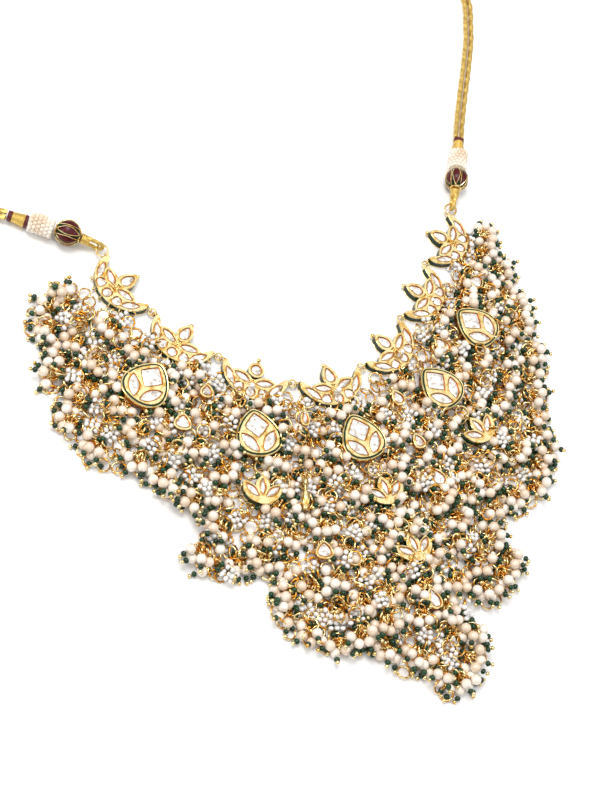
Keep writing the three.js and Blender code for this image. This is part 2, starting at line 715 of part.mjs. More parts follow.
const lotusPockets = lotuses.map((item) => {
  const petals = [-1, 0, 1].map((fan) => {
    const turn = 90 - fan * LOTUS_FAN;
    const outline = grown(marquise(LOTUS_PETAL_LENGTH, LOTUS_PETAL_WIDTH), PETAL_ROOM);
    const petal = pocket(outline, step([0, -LOTUS_ROOT], turn, LOTUS_PETAL_LENGTH / 2), turn);
    return moved(petal, item.place, item.turn);
  });
  const heart = moved(pocket(marquise(4.2, 4.2), [0, -LOTUS_ROOT], 0), item.place, item.turn);
  return fuse([...petals, heart, hangerPocket(item, PENDANT_FLOOR)]);
});

const drops = DROPS.map(([place, turn, ...size]) => {
  const [length, width] = ofSpan(size);
  return { place: laidOut(place), turn, length, width };
});

const dropPockets = drops.map(({ place, turn, length, width }) => {
  const body = rectangle(width / 2 + PETAL_ROOM, -(EYE_REACH + length + PETAL_ROOM), EYE_ROOM);
  return pocket(body, place, turn);
});

const hollows = [...pearPockets, ...lotusPockets, ...dropPockets];

// End fittings, chained from the outer horns

const ENDS = [
  { name: "left", horn: hornEye(0, -1), ring: 124, run: 148 },
  { name: "right", horn: hornEye(CRESCENT_TURNS.length - 1, 1), ring: 47, run: 62 },
];
const LOOP_HEIGHT = LOOP_TURN + LOOP_CORD + 0.1;
const LOOP_RISE = 12;
const LOOP_RUN = LOOP_LENGTH * Math.cos(radians(LOOP_RISE)) + 2 * GAP;
const LOOP_HOOK = LOOP_TURN + LOOP_CORD;
const HOOK_HEIGHT = LOOP_HEIGHT + LOOP_HOOK * Math.sin(radians(LOOP_RISE));
const END_RING_TILT = Math.asin((HOOK_HEIGHT - EYE_HEIGHT) / (2 * END_RING_RADIUS));
const END_RING_RUN = END_RING_RADIUS * Math.cos(END_RING_TILT);

const layEnd = ({ horn, ring, run }) => {
  const centre = step(horn, ring, END_RING_RUN);
  const hook = step(centre, ring, END_RING_RUN);
  const loop = step(hook, run, -LOOP_HOOK * Math.cos(radians(LOOP_RISE)));
  const bead = step(loop, run, LOOP_RUN);
  const sleeve = step(bead, run, BEAD_DIAMETER + GAP);
  const wrap = step(sleeve, run, SLEEVE_LENGTH + GAP);
  const cord = step(wrap, run, FERRULE_LENGTH + 2 * GAP);
  return { centre, loop, bead, sleeve, wrap, cord, ring, run };
};

const jewel = new THREE.Group();
jewel.name = "kundan_necklace";
jewel.position.set(...laidOut(CENTRE).map((value) => -value), 0);

const addPiece = (name, colour, solid, place = [0, 0, 0], turn = 0, tilt = 0) => {
  const [hex, roughness, metalness] = COLOURS[colour];
  const material = new THREE.MeshStandardMaterial({ color: hex, roughness, metalness });
  const piece = new THREE.Mesh(geometryOf(solid), material);
  piece.name = name;
  piece.position.set(place[0], place[1], place[2] ?? 0);
  piece.rotation.set(0, radians(-tilt), radians(turn), "ZYX");
  jewel.add(piece);
};

const addRow = () => {
  CRESCENT_TURNS.forEach((turn, index) => {
    const name = `crescent_${index + 1}`;
    addPiece(name, "gold", crescent(name === ROUND_TOPPED_CRESCENT), row.places[index], turn);
  });
  row.links.forEach((centre, index) => {
    addPiece(`link_${index + 1}`, "gold", flatRing(LINK_RADIUS, LINK_WIRE), [...centre, EYE_HEIGHT]);
  });
};

const addPendants = () => {
  const high = PENDANT_FLOOR + EYE_HEIGHT;
  pears.forEach((item, index) => {
    const { name, place, from, turn } = item;
    const centre = [(place[0] + from[0]) / 2, (place[1] + from[1]) / 2, EYE_HEIGHT + PENDANT_FLOOR / 2];
    const body = pearPendant(carriesLotus(item));
    const ring = flatRing(HANGER_RADIUS, LINK_WIRE);
    addPiece(name, "gold", body, [...place, PENDANT_FLOOR], turn);
    addPiece(`pear_ring_${index + 1}`, "gold", ring, centre, turn + 270, HANGER_TILT);
  });
  lotuses.forEach(({ place, from, turn }, index) => {
    const centre = [(place[0] + from[0]) / 2, (place[1] + from[1]) / 2, high];
    addPiece(`lotus_${index + 1}`, "gold", lotus(), [...place, PENDANT_FLOOR], turn);
    addPiece(`lotus_ring_${index + 1}`, "gold", flatRing(HANGER_RADIUS, LINK_WIRE), centre);
  });
  drops.forEach(({ place, turn, length, width }, index) => {
    addPiece(`drop_${index + 1}`, "gold", smallDrop(length, width), [...place, PENDANT_FLOOR], turn);
  });
};

const addFringe = () => {
  BUNCHES.map(laidBunch).forEach((item, index) => {
    addPiece(`fringe_${index + 1}`, "pearl", bunch(item, hollows));
  });
};

const addEnds = () => {
  const laid = ENDS.map(layEnd);
  laid.forEach(({ centre, loop, bead, sleeve, wrap, ring, run }, index) => {
    const side = ENDS[index].name;
    const tilt = (END_RING_TILT * 180) / Math.PI;
    const middle = (HOOK_HEIGHT + EYE_HEIGHT) / 2;
    const joint = flatRing(END_RING_RADIUS, END_RING_WIRE);
    addPiece(`end_ring_${side}`, "gold", joint, [...centre, middle], ring, tilt);
    addPiece(`cord_loop_${side}`, "thread", cordLoop(), [...loop, LOOP_HEIGHT], run, LOOP_RISE);
    addPiece(`enamel_bead_${side}`, "enamel", enamelBead(), [...bead, BEAD_DIAMETER / 2], run);
    addPiece(`pearl_sleeve_${side}`, "pearl", pearlSleeve(), [...sleeve, SLEEVE_DIAMETER / 2 + GAP], run);
    addPiece(`ferrule_${side}`, "thread", ferrule(), [...wrap, FERRULE_DIAMETER / 2 + GAP], run);
  });
  const height = FERRULE_DIAMETER / 2 + GAP;
  const [left, right] = laid.map(({ cord, run }) => ({
    cord: [...cord, height],
    lead: [...step(cord, run, DORI_LEAD), (height + DORI_REST) / 2],
  }));
  addPiece("dori_strand_inner", "thread", strand(left, right, -1));
  addPiece("dori_strand_outer", "thread", strand(left, right, 1));
  addPiece("dori_slider", "thread", slider(), [...laidOut(SLIDER_PLACE), SLIDER_HALF_HEIGHT]);
};

addRow();
addPendants();
addFringe();
addEnds();

export default jewel;
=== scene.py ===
"""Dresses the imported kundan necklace: enamelled plaques with foiled stones, pearl tassels and a gold dori cord."""

import math

import bpy
import numpy as np
from mathutils import Matrix, Vector
from mathutils.geometry import tessellate_polygon
from mathutils.kdtree import KDTree


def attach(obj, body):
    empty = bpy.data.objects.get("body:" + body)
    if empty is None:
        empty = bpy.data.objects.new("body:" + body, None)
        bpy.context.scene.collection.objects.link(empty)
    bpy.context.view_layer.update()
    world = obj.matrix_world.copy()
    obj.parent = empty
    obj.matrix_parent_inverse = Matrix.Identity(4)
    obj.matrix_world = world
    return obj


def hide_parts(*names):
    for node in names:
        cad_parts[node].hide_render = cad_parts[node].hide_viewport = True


bl_info = {
    "name": "Kundan necklace",
    "blender": (4, 5, 0),
    "version": (1, 0, 0),
    "location": "View3D > Sidebar > Necklace",
    "description": "Builds the looks of a kundan bib necklace around its solids",
    "category": "Object",
}

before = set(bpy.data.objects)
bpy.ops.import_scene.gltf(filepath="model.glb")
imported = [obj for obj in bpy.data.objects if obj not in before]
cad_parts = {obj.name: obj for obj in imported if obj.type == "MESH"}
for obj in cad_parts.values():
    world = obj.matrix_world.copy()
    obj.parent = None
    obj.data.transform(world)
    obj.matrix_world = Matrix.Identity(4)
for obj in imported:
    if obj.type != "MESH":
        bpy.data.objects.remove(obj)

MM = 0.001
DONE = {"FINISHED"}

# Middle of the laid-out jewel in millimetres, which lies on the frame's vertical axis as in the solids
CENTRE = np.array([-0.1796, 0.7075]) * 24.0
MIDDLE = np.array([*CENTRE, 0.0])

# The photograph's camera: lens and film height in millimetres, and its place by angles in degrees and metres
CAMERA_LENS = 67.70
CAMERA_FILM = 36.0
CAMERA_DIP = math.radians(58.41)
CAMERA_HEADING = math.radians(39.22)
CAMERA_ROLL = math.radians(34.553)
CAMERA_DISTANCE = 0.558
CAMERA_TARGET = np.array([-9.064, 12.231, 0.0]) * MM

# Room light: grey round the horizon, white overhead, and three soft lamps as (place, width, watts)
HORIZON = "#6E6A66"
ZENITH = "#FFFFFF"
HORIZON_RISE = (0.35, 0.8)
ROOM_LIGHT = 1.15
SOFTBOXES = {
    "overhead softbox": ((-0.2, 0.3, 1.0), 0.45, 5.5),
    "side softbox": ((0.9, -0.4, 0.6), 0.3, 1.4),
    "window softbox": ((-0.9, 0.2, 0.5), 0.3, 1.8),
}
TABLE_REACH = 3.0

# Turn of each plaque's horn line and of each pendant, left to right, in degrees
CRESCENT_TURNS = [-70, -50, -34, 2, 35, 47, 47]
PEAR_TURNS = [-50, -8, 6, 27, 34]
LOTUS_TURNS = [-20, 3, 24]

# The middle plaque and its place, the plaque with a round top petal, and the pears that carry a lotus
MIDDLE_CRESCENT = 3
MIDDLE_PLACE = (0.0, 1.483)
ROUND_TOPPED = 2
LOTUS_PEARS = [1, 2, 3]

# The loose lotus's place and turn, and the angle between the petals of a lotus
LOW_LOTUS = ((0.229, -1.271), 6)
LOTUS_FAN = 48

# Tiny charms among the beads: place, turn, length and width in millimetres
CHARMS = [
    ((-48.8, 40.5), -20, 5.2, 4.8), ((-16.2, 23.5), -15, 6.6, 3.4), ((20.6, 23.5), 16, 6.4, 4.8),
    ((22.4, 5.0), 10, 6.2, 4.6),
]
CHARM_RISE = 2.2

# Gold swivel among the beads: its start, turn and height, and its (along, radius) profile, in millimetres
SWIVEL = ((-25.9, -3.4), 249.7)
SWIVEL_HEIGHT = 7.6
SWIVEL_PROFILE = [
    (0.0, 0.05), (0.05, 0.7), (1.0, 1.1), (2.2, 1.1), (2.8, 0.6), (4.8, 0.6), (5.3, 1.3), (6.8, 1.55), (9.8, 1.55),
    (10.6, 1.0), (11.8, 0.7), (11.9, 0.05),
]

# Small drops: the upper eye's place, turn, length and width, in shares of a plaque's span
DROPS = [
    ((-2.5, 1.333), -25, 0.267, 0.258),
    ((-1.083, -1.083), -18, 0.275, 0.267),
    ((1.042, -0.375), 14, 0.317, 0.242),
    ((2, 1.75), 20, 0.317, 0.258),
    ((3, 2.667), 60, 0.275, 0.25),
    ((0.25, -2.167), 4, 0.333, 0.208),
]

# Bunches of tassels among the solids
BUNCH_COUNT = 9

# Outer edge of the fringe as it lies, from the left end round to the right one, in millimetres
FRINGE_EDGE = [
    (-84, 81), (-90, 77), (-101, 68), (-104, 58), (-99, 51), (-106, 42), (-107, 33), (-101, 29), (-104, 21),
    (-99, 8), (-94, -1), (-81, -5), (-69, -21), (-64, -28), (-78, -38), (-73, -44), (-60, -50), (-46, -53),
    (-52, -63), (-49, -73), (-38, -82), (-33, -87), (-21, -86), (-15, -97), (-6, -100), (-5, -108), (4, -111),
    (13, -111), (21, -105), (26, -98), (27, -89), (21, -78), (33, -85), (44, -81), (52, -74), (53, -64),
    (50, -56), (64, -54), (75, -48), (82, -40), (87, -25), (91, -11), (98, 1), (102, 14), (103, 30),
    (104, 46), (101, 60), (104, 66), (102, 73), (96, 74),
]

# The cord's middle line from the left ferrule round behind the neck to the right one, in shares of a span
DORI_ROUTE = [
    (-4.792, 5.833), (-5.083, 6.917), (-5.042, 8), (-4.583, 9), (-3.667, 9.667), (-2.292, 9.917),
    (-0.833, 9.958), (0.833, 9.958), (2.5, 9.958), (4, 9.833), (5.042, 9.333), (5.542, 8.542),
    (5.292, 7.667), (4.917, 6.917), (4.542, 6.25),
]

# Straight lead out of a ferrule, the cord's height there and its clearance of the table, in millimetres
DORI_LEAD = 6.0
DORI_HEIGHT = 3.0
DORI_CLEARANCE = 0.1

# The slider on the cord: its place in shares of a span, then its length and wall in millimetres, its sides, its
# rows of thread, and the cord's lift there and how far to each side the cord is lifted
SLIDER_PLACE = (0.0, 9.958)
SLIDER_LENGTH = 11.0
SLIDER_WALL = 0.7
SLIDER_SIDES = 28
SLIDER_ROWS = 45
SLIDER_LIFT = 0.9
LIFTED_REACH = 22.0

# The turn of each end's gold ring and of the fittings behind it, in degrees
ENDS = {"left": (124, 148), "right": (47, 62)}

# A plaque's stones along the band and on the petals, and its petals, as (length, width) in millimetres, the
# petals' lift above the band, the balls on it, and where its band's eyes stand in degrees
END_STONE = (7.4, 3.0)
NEXT_STONE = (4.2, 3.9)
FOOT_STONE = (3.9, 4.0)
PETAL = (9.2, 4.7)
PETAL_STONE = (6.8, 2.9)
TOP_PETAL = (8.0, 5.6)
TOP_STONE = (5.9, 3.8)
ROUND_PETAL = (6.0, 6.0)
ROUND_STONE = (4.3, 4.3)
PETAL_LIFT = 0.12
GRAIN_RADIUS = 0.42
FINIAL_RADIUS = 0.9
BAND_EYES = (232, 251, 270, 289, 308)

# Stones of the pears and lotuses, and the height of a lotus's wall and of a drop's face
KITE_STONE = (9.8, 9.2)
LEAF_STONE = (9.2, 4.3)
LOTUS_MIDDLE_STONE = (6.2, 2.5)
LOTUS_SIDE_STONE = (6.6, 2.9)
LOTUS_HEIGHT = 3.0
DROP_FACE = 2.8

# Clearance between fittings, and the eyes, rings and cord loops in millimetres
GAP = 0.3
EYE_RADIUS = 1.05
EYE_WIRE = 0.28
EYE_REACH = 0.8
EYE_HEIGHT = 1.8
HORN_HALF_WIDTH = 0.45
CRESCENT_DRAW_IN = 2.0
LINK_RADIUS = 1.45
LINK_WIRE = 0.33
HANGER_RADIUS = 2.6
END_RING_RADIUS = 2.4
END_RING_WIRE = 0.36
LOOP_CORD = 0.85
LOOP_TURN = 1.8
LOOP_LENGTH = 9.0
LOOP_RISE = math.radians(12)

# Enamelled bead: red panels round it, their half width in shares of their room, and the gold lines' radius
BEAD_PANELS = 8
PANEL_REACH = 0.42
LINE_RISE = 0.16

# Sleeve of seed beads: bead radius, rows, beads in a row and height of its middle
SLEEVE_BEAD = 0.95
SLEEVE_ROWS = 6
SLEEVE_AROUND = 14
SLEEVE_HEIGHT = 4.4

# Fringe, in millimetres: radius that each kind of bead keeps free around itself, radius and wire of the rings,
# the kinds along a charm with their distance from the tassel's ring, the kinds along a string with the step to
# each, the string's run and sway, the charms' spread in degrees, how far the tassels reach, the height that no
# bead or ring passes, and the rise from row to row of an even spread in shares of its gap
KINDS = {"ring": 0.5, "link": 0.5, "seed": 1.05, "green": 1.2, "loop": 0.5, "pearl": 1.95, "tip": 0.85}
RINGS = {"ring": (2.1, 0.42), "link": (1.4, 0.34), "loop": (1.25, 0.32), "wire": (2.5, 0.42)}
CHARM = (("link", 1.4), ("loop", 2.9), ("pearl", 5.4), ("green", 8.3), ("tip", 10.0))
STRING = (("seed", 1.7), ("seed", 2.0), ("seed", 2.0), ("green", 2.2))
STRING_RUN = 10.0
STRING_SWAY = 2.3
CHARM_SPREAD = 110
TASSEL_REACH = 9.6
FRINGE_TOP = 9.9
ROW_RISE = 0.866

ROUNDS = 140
SEARCH_EVERY = 8
HASTE = 1.5
HOMING = 0.012
FALL = 0.03
STIRRED = 0.8

# Beads and rings of the fringe as (piece, kind, finish, slot, flatness, segments, rings) and (piece, kind)
BEAD_PIECES = (
    ("fringe_pearls", "pearl", "pearl", "pearl", 0.97, 10, 7),
    ("fringe_greens", "green", "green", "enamel", 0.82, 8, 5),
    ("fringe_seeds", "seed", "seed", "seed", 0.8, 8, 5),
    ("fringe_tips", "tip", "gold", "gold", 0.9, 7, 5),
)
RING_PIECES = (
    ("fringe_rings", "ring"), ("fringe_links", "link"), ("fringe_loops", "loop"), ("fringe_wires", "wire"),
)


def srgb(code):
    """Linear colour of an sRGB hex code."""
    parts = [int(code[index : index + 2], 16) / 255 for index in (1, 3, 5)]
    linear = [part / 12.92 if part <= 0.04045 else ((part + 0.055) / 1.055) ** 2.4 for part in parts]
    return (*linear, 1.0)


def length(name, description, millimetres):
    """A length property with its default in millimetres."""
    return bpy.props.FloatProperty(
        name=name, description=description, default=millimetres * MM, min=0.0, unit="LENGTH", subtype="DISTANCE"
    )


def colour(name, description, code):
    """A colour property with its default as an sRGB hex code."""
    return bpy.props.FloatVectorProperty(
        name=name, description=description, default=srgb(code), size=4, min=0.0, max=1.0, subtype="COLOR"
    )


class NecklaceSizes(bpy.types.PropertyGroup):
    """Sizes of the necklace."""

    crescent_span: length("Crescent span", "Horn to horn across a plaque", 24.0)
    crescent_band: length("Crescent band", "Width of the plaque's band", 4.8)
    plaque_height: length("Plaque height", "Height of a plaque's wall", 3.0)
    pear_length: length("Pear length", "Length of a pear pendant", 18.5)
    pear_width: length("Pear width", "Width of a pear pendant", 16.5)
    pear_height: length("Pear height", "Height of a pear pendant's wall", 3.8)
    pendant_floor: length("Pendant floor", "Height at which the pendants lie in the fringe", 2.3)
    petal_length: length("Lotus petal length", "Length of a lotus petal", 9.4)
    pearl_diameter: length("Pearl diameter", "Diameter of a cream pearl", 4.0)
    green_diameter: length("Green bead diameter", "Diameter of a green seed bead", 2.4)
    seed_diameter: length("White seed diameter", "Diameter of a white seed bead", 2.2)
    enamel_bead: length("Enamel bead", "Diameter of an enamelled bead", 10.0)
    sleeve_length: length("Sleeve length", "Length of a sleeve of seed beads", 9.4)
    sleeve_diameter: length("Sleeve diameter", "Diameter of a sleeve of seed beads", 8.2)
    ferrule_length: length("Ferrule length", "Length of a thread-wrapped ferrule", 7.6)
    ferrule_diameter: length("Ferrule diameter", "Diameter of a thread-wrapped ferrule", 5.4)
    strand_diameter: length("Strand diameter", "Diameter of one dori strand", 2.1)
    strand_spacing: length("Strand spacing", "Distance between the two strands' middles", 2.5)
    tassel_spacing: length("Tassel spacing", "Distance between the tassels of the fringe", 11.5)
    scatter_seed: bpy.props.IntProperty(name="Scatter seed", description="Seed of the loose lay", default=7, min=0)


class NecklaceColours(bpy.types.PropertyGroup):
    """Colours of the necklace."""

    gold: colour("Gold", "Plated gold", "#FBE9AE")
    # Warm gold: painted shade and painted reflection, laid in patches over the plate's gold
    gold_deep: colour("Warm gold", "Warmer patches of the plate", "#DFAF55")
    # Amber gold: painted shade and painted reflection of the gold in hollows, cups and on walls
    amber_shade: colour("Amber gold", "Gold in hollows and on walls", "#D28A26")
    stone: colour("Stone", "Foiled kundan glass", "#F7F4F0")
    # Foil: painted reflection, grey patches on the stones' white facets
    foil: colour("Foil", "Darker reflections of the foil", "#C3B5A6")
    leaf: colour("Green enamel", "Enamel of the walls", "#06300F")
    ruby: colour("Red enamel", "Enamel of the round beads", "#560A12")
    pearl: colour("Pearl", "Cream glass pearl", "#F9EEE0")
    pearl_shade: colour("Pearl shade", "Warmer tone of some pearls", "#E8D0B5")
    seed: colour("White seed", "White seed bead", "#F1EFEC")
    green: colour("Green bead", "Dark green glass", "#083E1A")
    thread: colour("Gold thread", "Metallic thread of the cord", "#EBC76C")
    maroon: colour("Maroon thread", "Thread rings of the ferrules", "#611318")
    table: colour("Table", "White table top", "#FAFAFA")


def sizes():
    """The size properties in millimetres."""
    group = bpy.context.scene.necklace_sizes
    found = {}
    for key in group.__annotations__:
        value = getattr(group, key)
        found[key] = value if isinstance(value, int) else value / MM
    return found


def tone(name):
    """A colour property as a plain tuple."""
    return tuple(getattr(bpy.context.scene.necklace_colours, name))


# Layout, in millimetres and in the order of the solids


def step(place, degrees, distance):
    """The point at a distance from place in a direction."""
    turn = math.radians(degrees)
    return (place[0] + math.cos(turn) * distance, place[1] + math.sin(turn) * distance)


def laid_out(measure, place):
    """A point of the layout, given as shares of a plaque's span."""
    return (place[0] * measure["crescent_span"], place[1] * measure["crescent_span"])


def drop_places(measure):
    """Small drops as (place, turn, length, width)."""
    span = measure["crescent_span"]
    return [(laid_out(measure, place), turn, long * span, wide * span) for place, turn, long, wide in DROPS]


def lay_row(measure):
    """Places of the crescents and of the links between them."""
    reach = measure["crescent_span"] / 2 + HORN_HALF_WIDTH + EYE_REACH
    places = {MIDDLE_CRESCENT: laid_out(measure, MIDDLE_PLACE)}
    links = {}
    for side in (-1, 1):
        index = MIDDLE_CRESCENT
        while 0 <= index + side < len(CRESCENT_TURNS):
            turn, following = CRESCENT_TURNS[index], CRESCENT_TURNS[index + side]
            between = (turn + following) / 2
            centre = step(step(places[index], turn, side * reach), between, side * LINK_RADIUS)
            places[index + side] = step(step(centre, between, side * LINK_RADIUS), following, side * reach)
            links[min(index, index + side)] = centre
            index += side
    return [places[key] for key in sorted(places)], [links[key] for key in sorted(links)]


def lay_pendants(measure):
    """Pears and lotuses as (place of the upper eye, place of the ring's other end, turn)."""
    places, _ = lay_row(measure)
    depth = measure["crescent_span"] / 2 - CRESCENT_DRAW_IN + measure["crescent_band"] / 2
    run = math.sqrt((2 * HANGER_RADIUS) ** 2 - measure["pendant_floor"] ** 2)
    pears = []
    for index, turn in enumerate(PEAR_TURNS):
        above = index + 1
        start = step(places[above], CRESCENT_TURNS[above] + 270, depth + EYE_REACH)
        pears.append((step(start, turn + 270, run), start, turn))
    foot = measure["pear_length"] + 2 * EYE_REACH
    lotuses = []
    for turn, above in zip(LOTUS_TURNS, LOTUS_PEARS):
        start = step(pears[above][0], pears[above][2] + 270, foot)
        lotuses.append((step(start, turn + 270, 2 * HANGER_RADIUS), start, turn))
    place, turn = laid_out(measure, LOW_LOTUS[0]), LOW_LOTUS[1]
    lotuses.append((place, step(place, turn + 90, 2 * HANGER_RADIUS), turn))
    return pears, lotuses


def lay_ends(measure):
    """Places along each end, from the ring at the horn to the cord."""
    places, _ = lay_row(measure)
    reach = measure["crescent_span"] / 2 + HORN_HALF_WIDTH + EYE_REACH
    hook = LOOP_TURN + LOOP_CORD
    loop_height = hook + 0.1
    hook_height = loop_height + hook * math.sin(LOOP_RISE)
    tilt = math.asin((hook_height - EYE_HEIGHT) / (2 * END_RING_RADIUS))
    ring_run = END_RING_RADIUS * math.cos(tilt)
    found = {}
    for name, (ring, run) in ENDS.items():
        index, side = (0, -1) if name == "left" else (len(places) - 1, 1)
        horn = step(places[index], CRESCENT_TURNS[index], side * reach)
        centre = step(horn, ring, ring_run)
        loop = step(step(centre, ring, ring_run), run, -hook * math.cos(LOOP_RISE))
        bead = step(loop, run, LOOP_LENGTH * math.cos(LOOP_RISE) + 2 * GAP)
        sleeve = step(bead, run, measure["enamel_bead"] + GAP)
        wrap = step(sleeve, run, measure["sleeve_length"] + GAP)
        cord = step(wrap, run, measure["ferrule_length"] + 2 * GAP)
        found[name] = {
            "ring": ring, "run": run, "tilt": tilt, "centre": centre, "loop": loop, "bead": bead, "sleeve": sleeve,
            "wrap": wrap, "cord": cord, "ring_height": (hook_height + EYE_HEIGHT) / 2, "loop_height": loop_height,
        }
    return found


# Skins: a pair of points in millimetres and faces


def joined(skins):
    """One skin out of many."""
    points, faces, start = [], [], 0
    for part_points, part_faces in skins:
        points.append(part_points)
        faces.extend(tuple(start + corner for corner in face) for face in part_faces)
        start += len(part_points)
    return np.concatenate(points), faces


def placed(skin, place=(0, 0, 0), turn=0.0, tilt=0.0):
    """The skin tilted about y, turned about z and moved. Tilt lifts what lies along +x."""
    matrix = Matrix.Rotation(math.radians(turn), 3, "Z") @ Matrix.Rotation(-math.radians(tilt), 3, "Y")
    offset = np.array([place[0], place[1], place[2] if len(place) > 2 else 0.0])
    return skin[0] @ np.array(matrix).T + offset, skin[1]


def around(count):
    """Angles of that many points on a circle."""
    return np.arange(count) * 2 * math.pi / count


def bands(rows, sides, rising=True, closed=False):
    """Faces between rows of points round a body, whose order tells which way they face."""
    faces = []
    for row in range(rows if closed else rows - 1):
        here, there = row * sides, (row + 1) % rows * sides
        for side in range(sides):
            after = (side + 1) % sides
            face = (here + side, here + after, there + after, there + side)
            faces.append(face if rising else (face[0], face[3], face[2], face[1]))
    return faces


def cap(outline, first, upwards):
    """Triangles that close an outline of [x, y] points."""
    flat = [Vector((float(x), float(y), 0.0)) for x, y in outline]
    faces = []
    for a, b, c in tessellate_polygon([flat]):
        cross = (flat[b] - flat[a]).cross(flat[c] - flat[a]).z
        face = (a, b, c) if (cross > 0) == upwards else (c, b, a)
        faces.append(tuple(first + corner for corner in face))
    return faces


def loft(sections, low=False, high=False):
    """Skin over (outline, height) sections that run anticlockwise, with or without its end faces."""
    count = len(sections[0][0])
    points = np.concatenate([np.column_stack([outline, np.full(count, height)]) for outline, height in sections])
    faces = bands(len(sections), count)
    if low:
        faces.extend(cap(sections[0][0], 0, False))
    if high:
        faces.extend(cap(sections[-1][0], (len(sections) - 1) * count, True))
    return points, faces


def lathe(profile, sides):
    """Skin of revolution about x from (along, radius) points."""
    turns = around(sides)
    rows = [
        np.column_stack([np.full(sides, along), np.cos(turns) * radius, np.sin(turns) * radius])
        for along, radius in profile
    ]
    return np.concatenate(rows), bands(len(rows), sides, rising=False)


def ball(radius, place, segments=12, rings=8):
    """Skin of a small ball."""
    profile = []
    for ring in range(rings + 1):
        angle = math.pi * ring / rings
        profile.append((-radius * math.cos(angle), max(radius * math.sin(angle), 0.001)))
    return placed(lathe(profile, segments), place)


def torus(radius, wire, segments=28, sides=10):
    """Skin of a flat ring."""
    rounds = around(sides)
    reach = radius + wire * np.cos(rounds)
    points = [
        (math.cos(turn) * out, math.sin(turn) * out, wire * math.sin(angle))
        for turn in around(segments) for out, angle in zip(reach, rounds)
    ]
    return np.array(points), bands(segments, sides, rising=False, closed=True)


def upright_eye(place, turn):
    """Ring on edge whose plane holds the direction turn."""
    points, faces = torus(EYE_RADIUS, EYE_WIRE, 18, 8)
    upright = np.column_stack([points[:, 0], -points[:, 2], points[:, 1]])
    return placed((upright, faces), (place[0], place[1], EYE_HEIGHT), turn)


def offset(outline, distance):
    """The anticlockwise outline grown by a distance."""
    along = np.roll(outline, -1, axis=0) - np.roll(outline, 1, axis=0)
    along /= np.maximum(np.linalg.norm(along, axis=1, keepdims=True), 1e-9)
    return outline + distance * np.column_stack([along[:, 1], -along[:, 0]])


def marquise(span, width):
    """Pointed oval outline with its length along x."""
    turns = around(24)
    x = np.cos(turns)
    return np.column_stack([span / 2 * x, width / 2 * np.sign(np.sin(turns)) * (1 - x * x) ** 0.8])


def oval(span, width):
    """Oval outline."""
    turns = around(24)
    return np.column_stack([span / 2 * np.cos(turns), width / 2 * np.sin(turns)])


def pear(span, width, points=30):
    """Pear outline, point towards +x."""
    turns = around(points)
    narrowing = 1 - 0.32 * np.cos(turns) - 0.1 * np.maximum(np.cos(turns), 0) ** 3
    return np.column_stack([span / 2 * np.cos(turns), width / 2 * np.sin(turns) * narrowing])


def kite(span, width):
    """Square outline with soft corners, a corner towards +x."""
    turns, softness = around(28), 1.12
    reach = 1 / (np.abs(np.cos(turns)) ** softness + np.abs(np.sin(turns)) ** softness) ** (1 / softness)
    return np.column_stack([span / 2 * np.cos(turns) * reach, width / 2 * np.sin(turns) * reach])


def turned(outline, place, turn):
    """Outline turned and moved in its own plane."""
    angle = math.radians(turn)
    rotation = np.array([[math.cos(angle), math.sin(angle)], [-math.sin(angle), math.cos(angle)]])
    return outline @ rotation + np.array(place)


def crescent_outline(measure):
    """Band of the crescent, horns at +-x, its back towards -y."""
    outer, inner = [], []
    for index in range(27):
        share = index / 26
        turn = math.pi * (1 + share)
        fullness = math.sin(math.pi * share)
        middle = measure["crescent_span"] / 2 - CRESCENT_DRAW_IN * fullness
        swell = (measure["crescent_band"] / 2 - HORN_HALF_WIDTH) * math.sqrt(max(fullness, 0))
        half = HORN_HALF_WIDTH * min(1, 0.35 + 4 * fullness) + swell
        outer.append((math.cos(turn) * (middle + half), math.sin(turn) * (middle + half)))
        inner.append((math.cos(turn) * (middle - half), math.sin(turn) * (middle - half)))
    return np.array(outer + inner[::-1])


# Goldsmith's forms: each fills a set of skins, one list for each finish


def bare_parts():
    """Empty lists of skins, by finish."""
    # The amber list holds gold darkened as painted shade
    return {"gold": [], "amber_shade": [], "leaf": [], "stone": []}


def profiled(outline, *steps, low=False):
    """Wall round an outline, which each (growth, height) step grows by a distance."""
    return loft([(offset(outline, growth), height) for growth, height in steps], low=low)


def pierced_face(outline, holes, height):
    """Flat gold face with stone-shaped holes."""
    loops = [outline] + holes
    flat = [[Vector((float(x), float(y), 0.0)) for x, y in loop] for loop in loops]
    points = np.concatenate(loops)
    faces = []
    for a, b, c in tessellate_polygon(flat):
        ab, ac = points[b] - points[a], points[c] - points[a]
        faces.append((a, b, c) if ab[0] * ac[1] - ab[1] * ac[0] > 0 else (c, b, a))
    return np.column_stack([points, np.full(len(points), height)]), faces


def set_stone(parts, hole, low, high, rise=0.12):
    """Hollow of gold darkened to amber as painted shade, raised gold lip and flat-topped cut stone in one hole."""
    parts["amber_shade"].append(loft([(hole, high), (hole, low)], high=True))
    parts["gold"].append(profiled(hole, (0.2, high - 0.02), (0.12, high + 0.09), (-0.01, high - 0.01)))
    girdle = offset(hole, -0.4)
    middle = girdle.mean(axis=0)
    table = middle + (girdle - middle) * 0.6
    parts["stone"].append(loft([(girdle, low), (girdle, high - 0.22), (table, high + rise)], high=True))


def walled(parts, outline, holes, height):
    """Plaque with a gold foot, an enamelled wall and a gold face full of stones."""
    face = height + 0.45
    parts["gold"] += [
        profiled(outline, (0.08, 0.0), (0.1, 0.3), (0.0, 0.4), low=True),
        profiled(outline, (0.0, height - 0.16), (0.12, height - 0.02), (0.12, face - 0.1), (0.03, face)),
        pierced_face(offset(outline, 0.03), holes, face),
    ]
    parts["leaf"].append(loft([(outline, 0.35), (outline, height - 0.1)]))
    for hole in holes:
        set_stone(parts, hole, height, face)


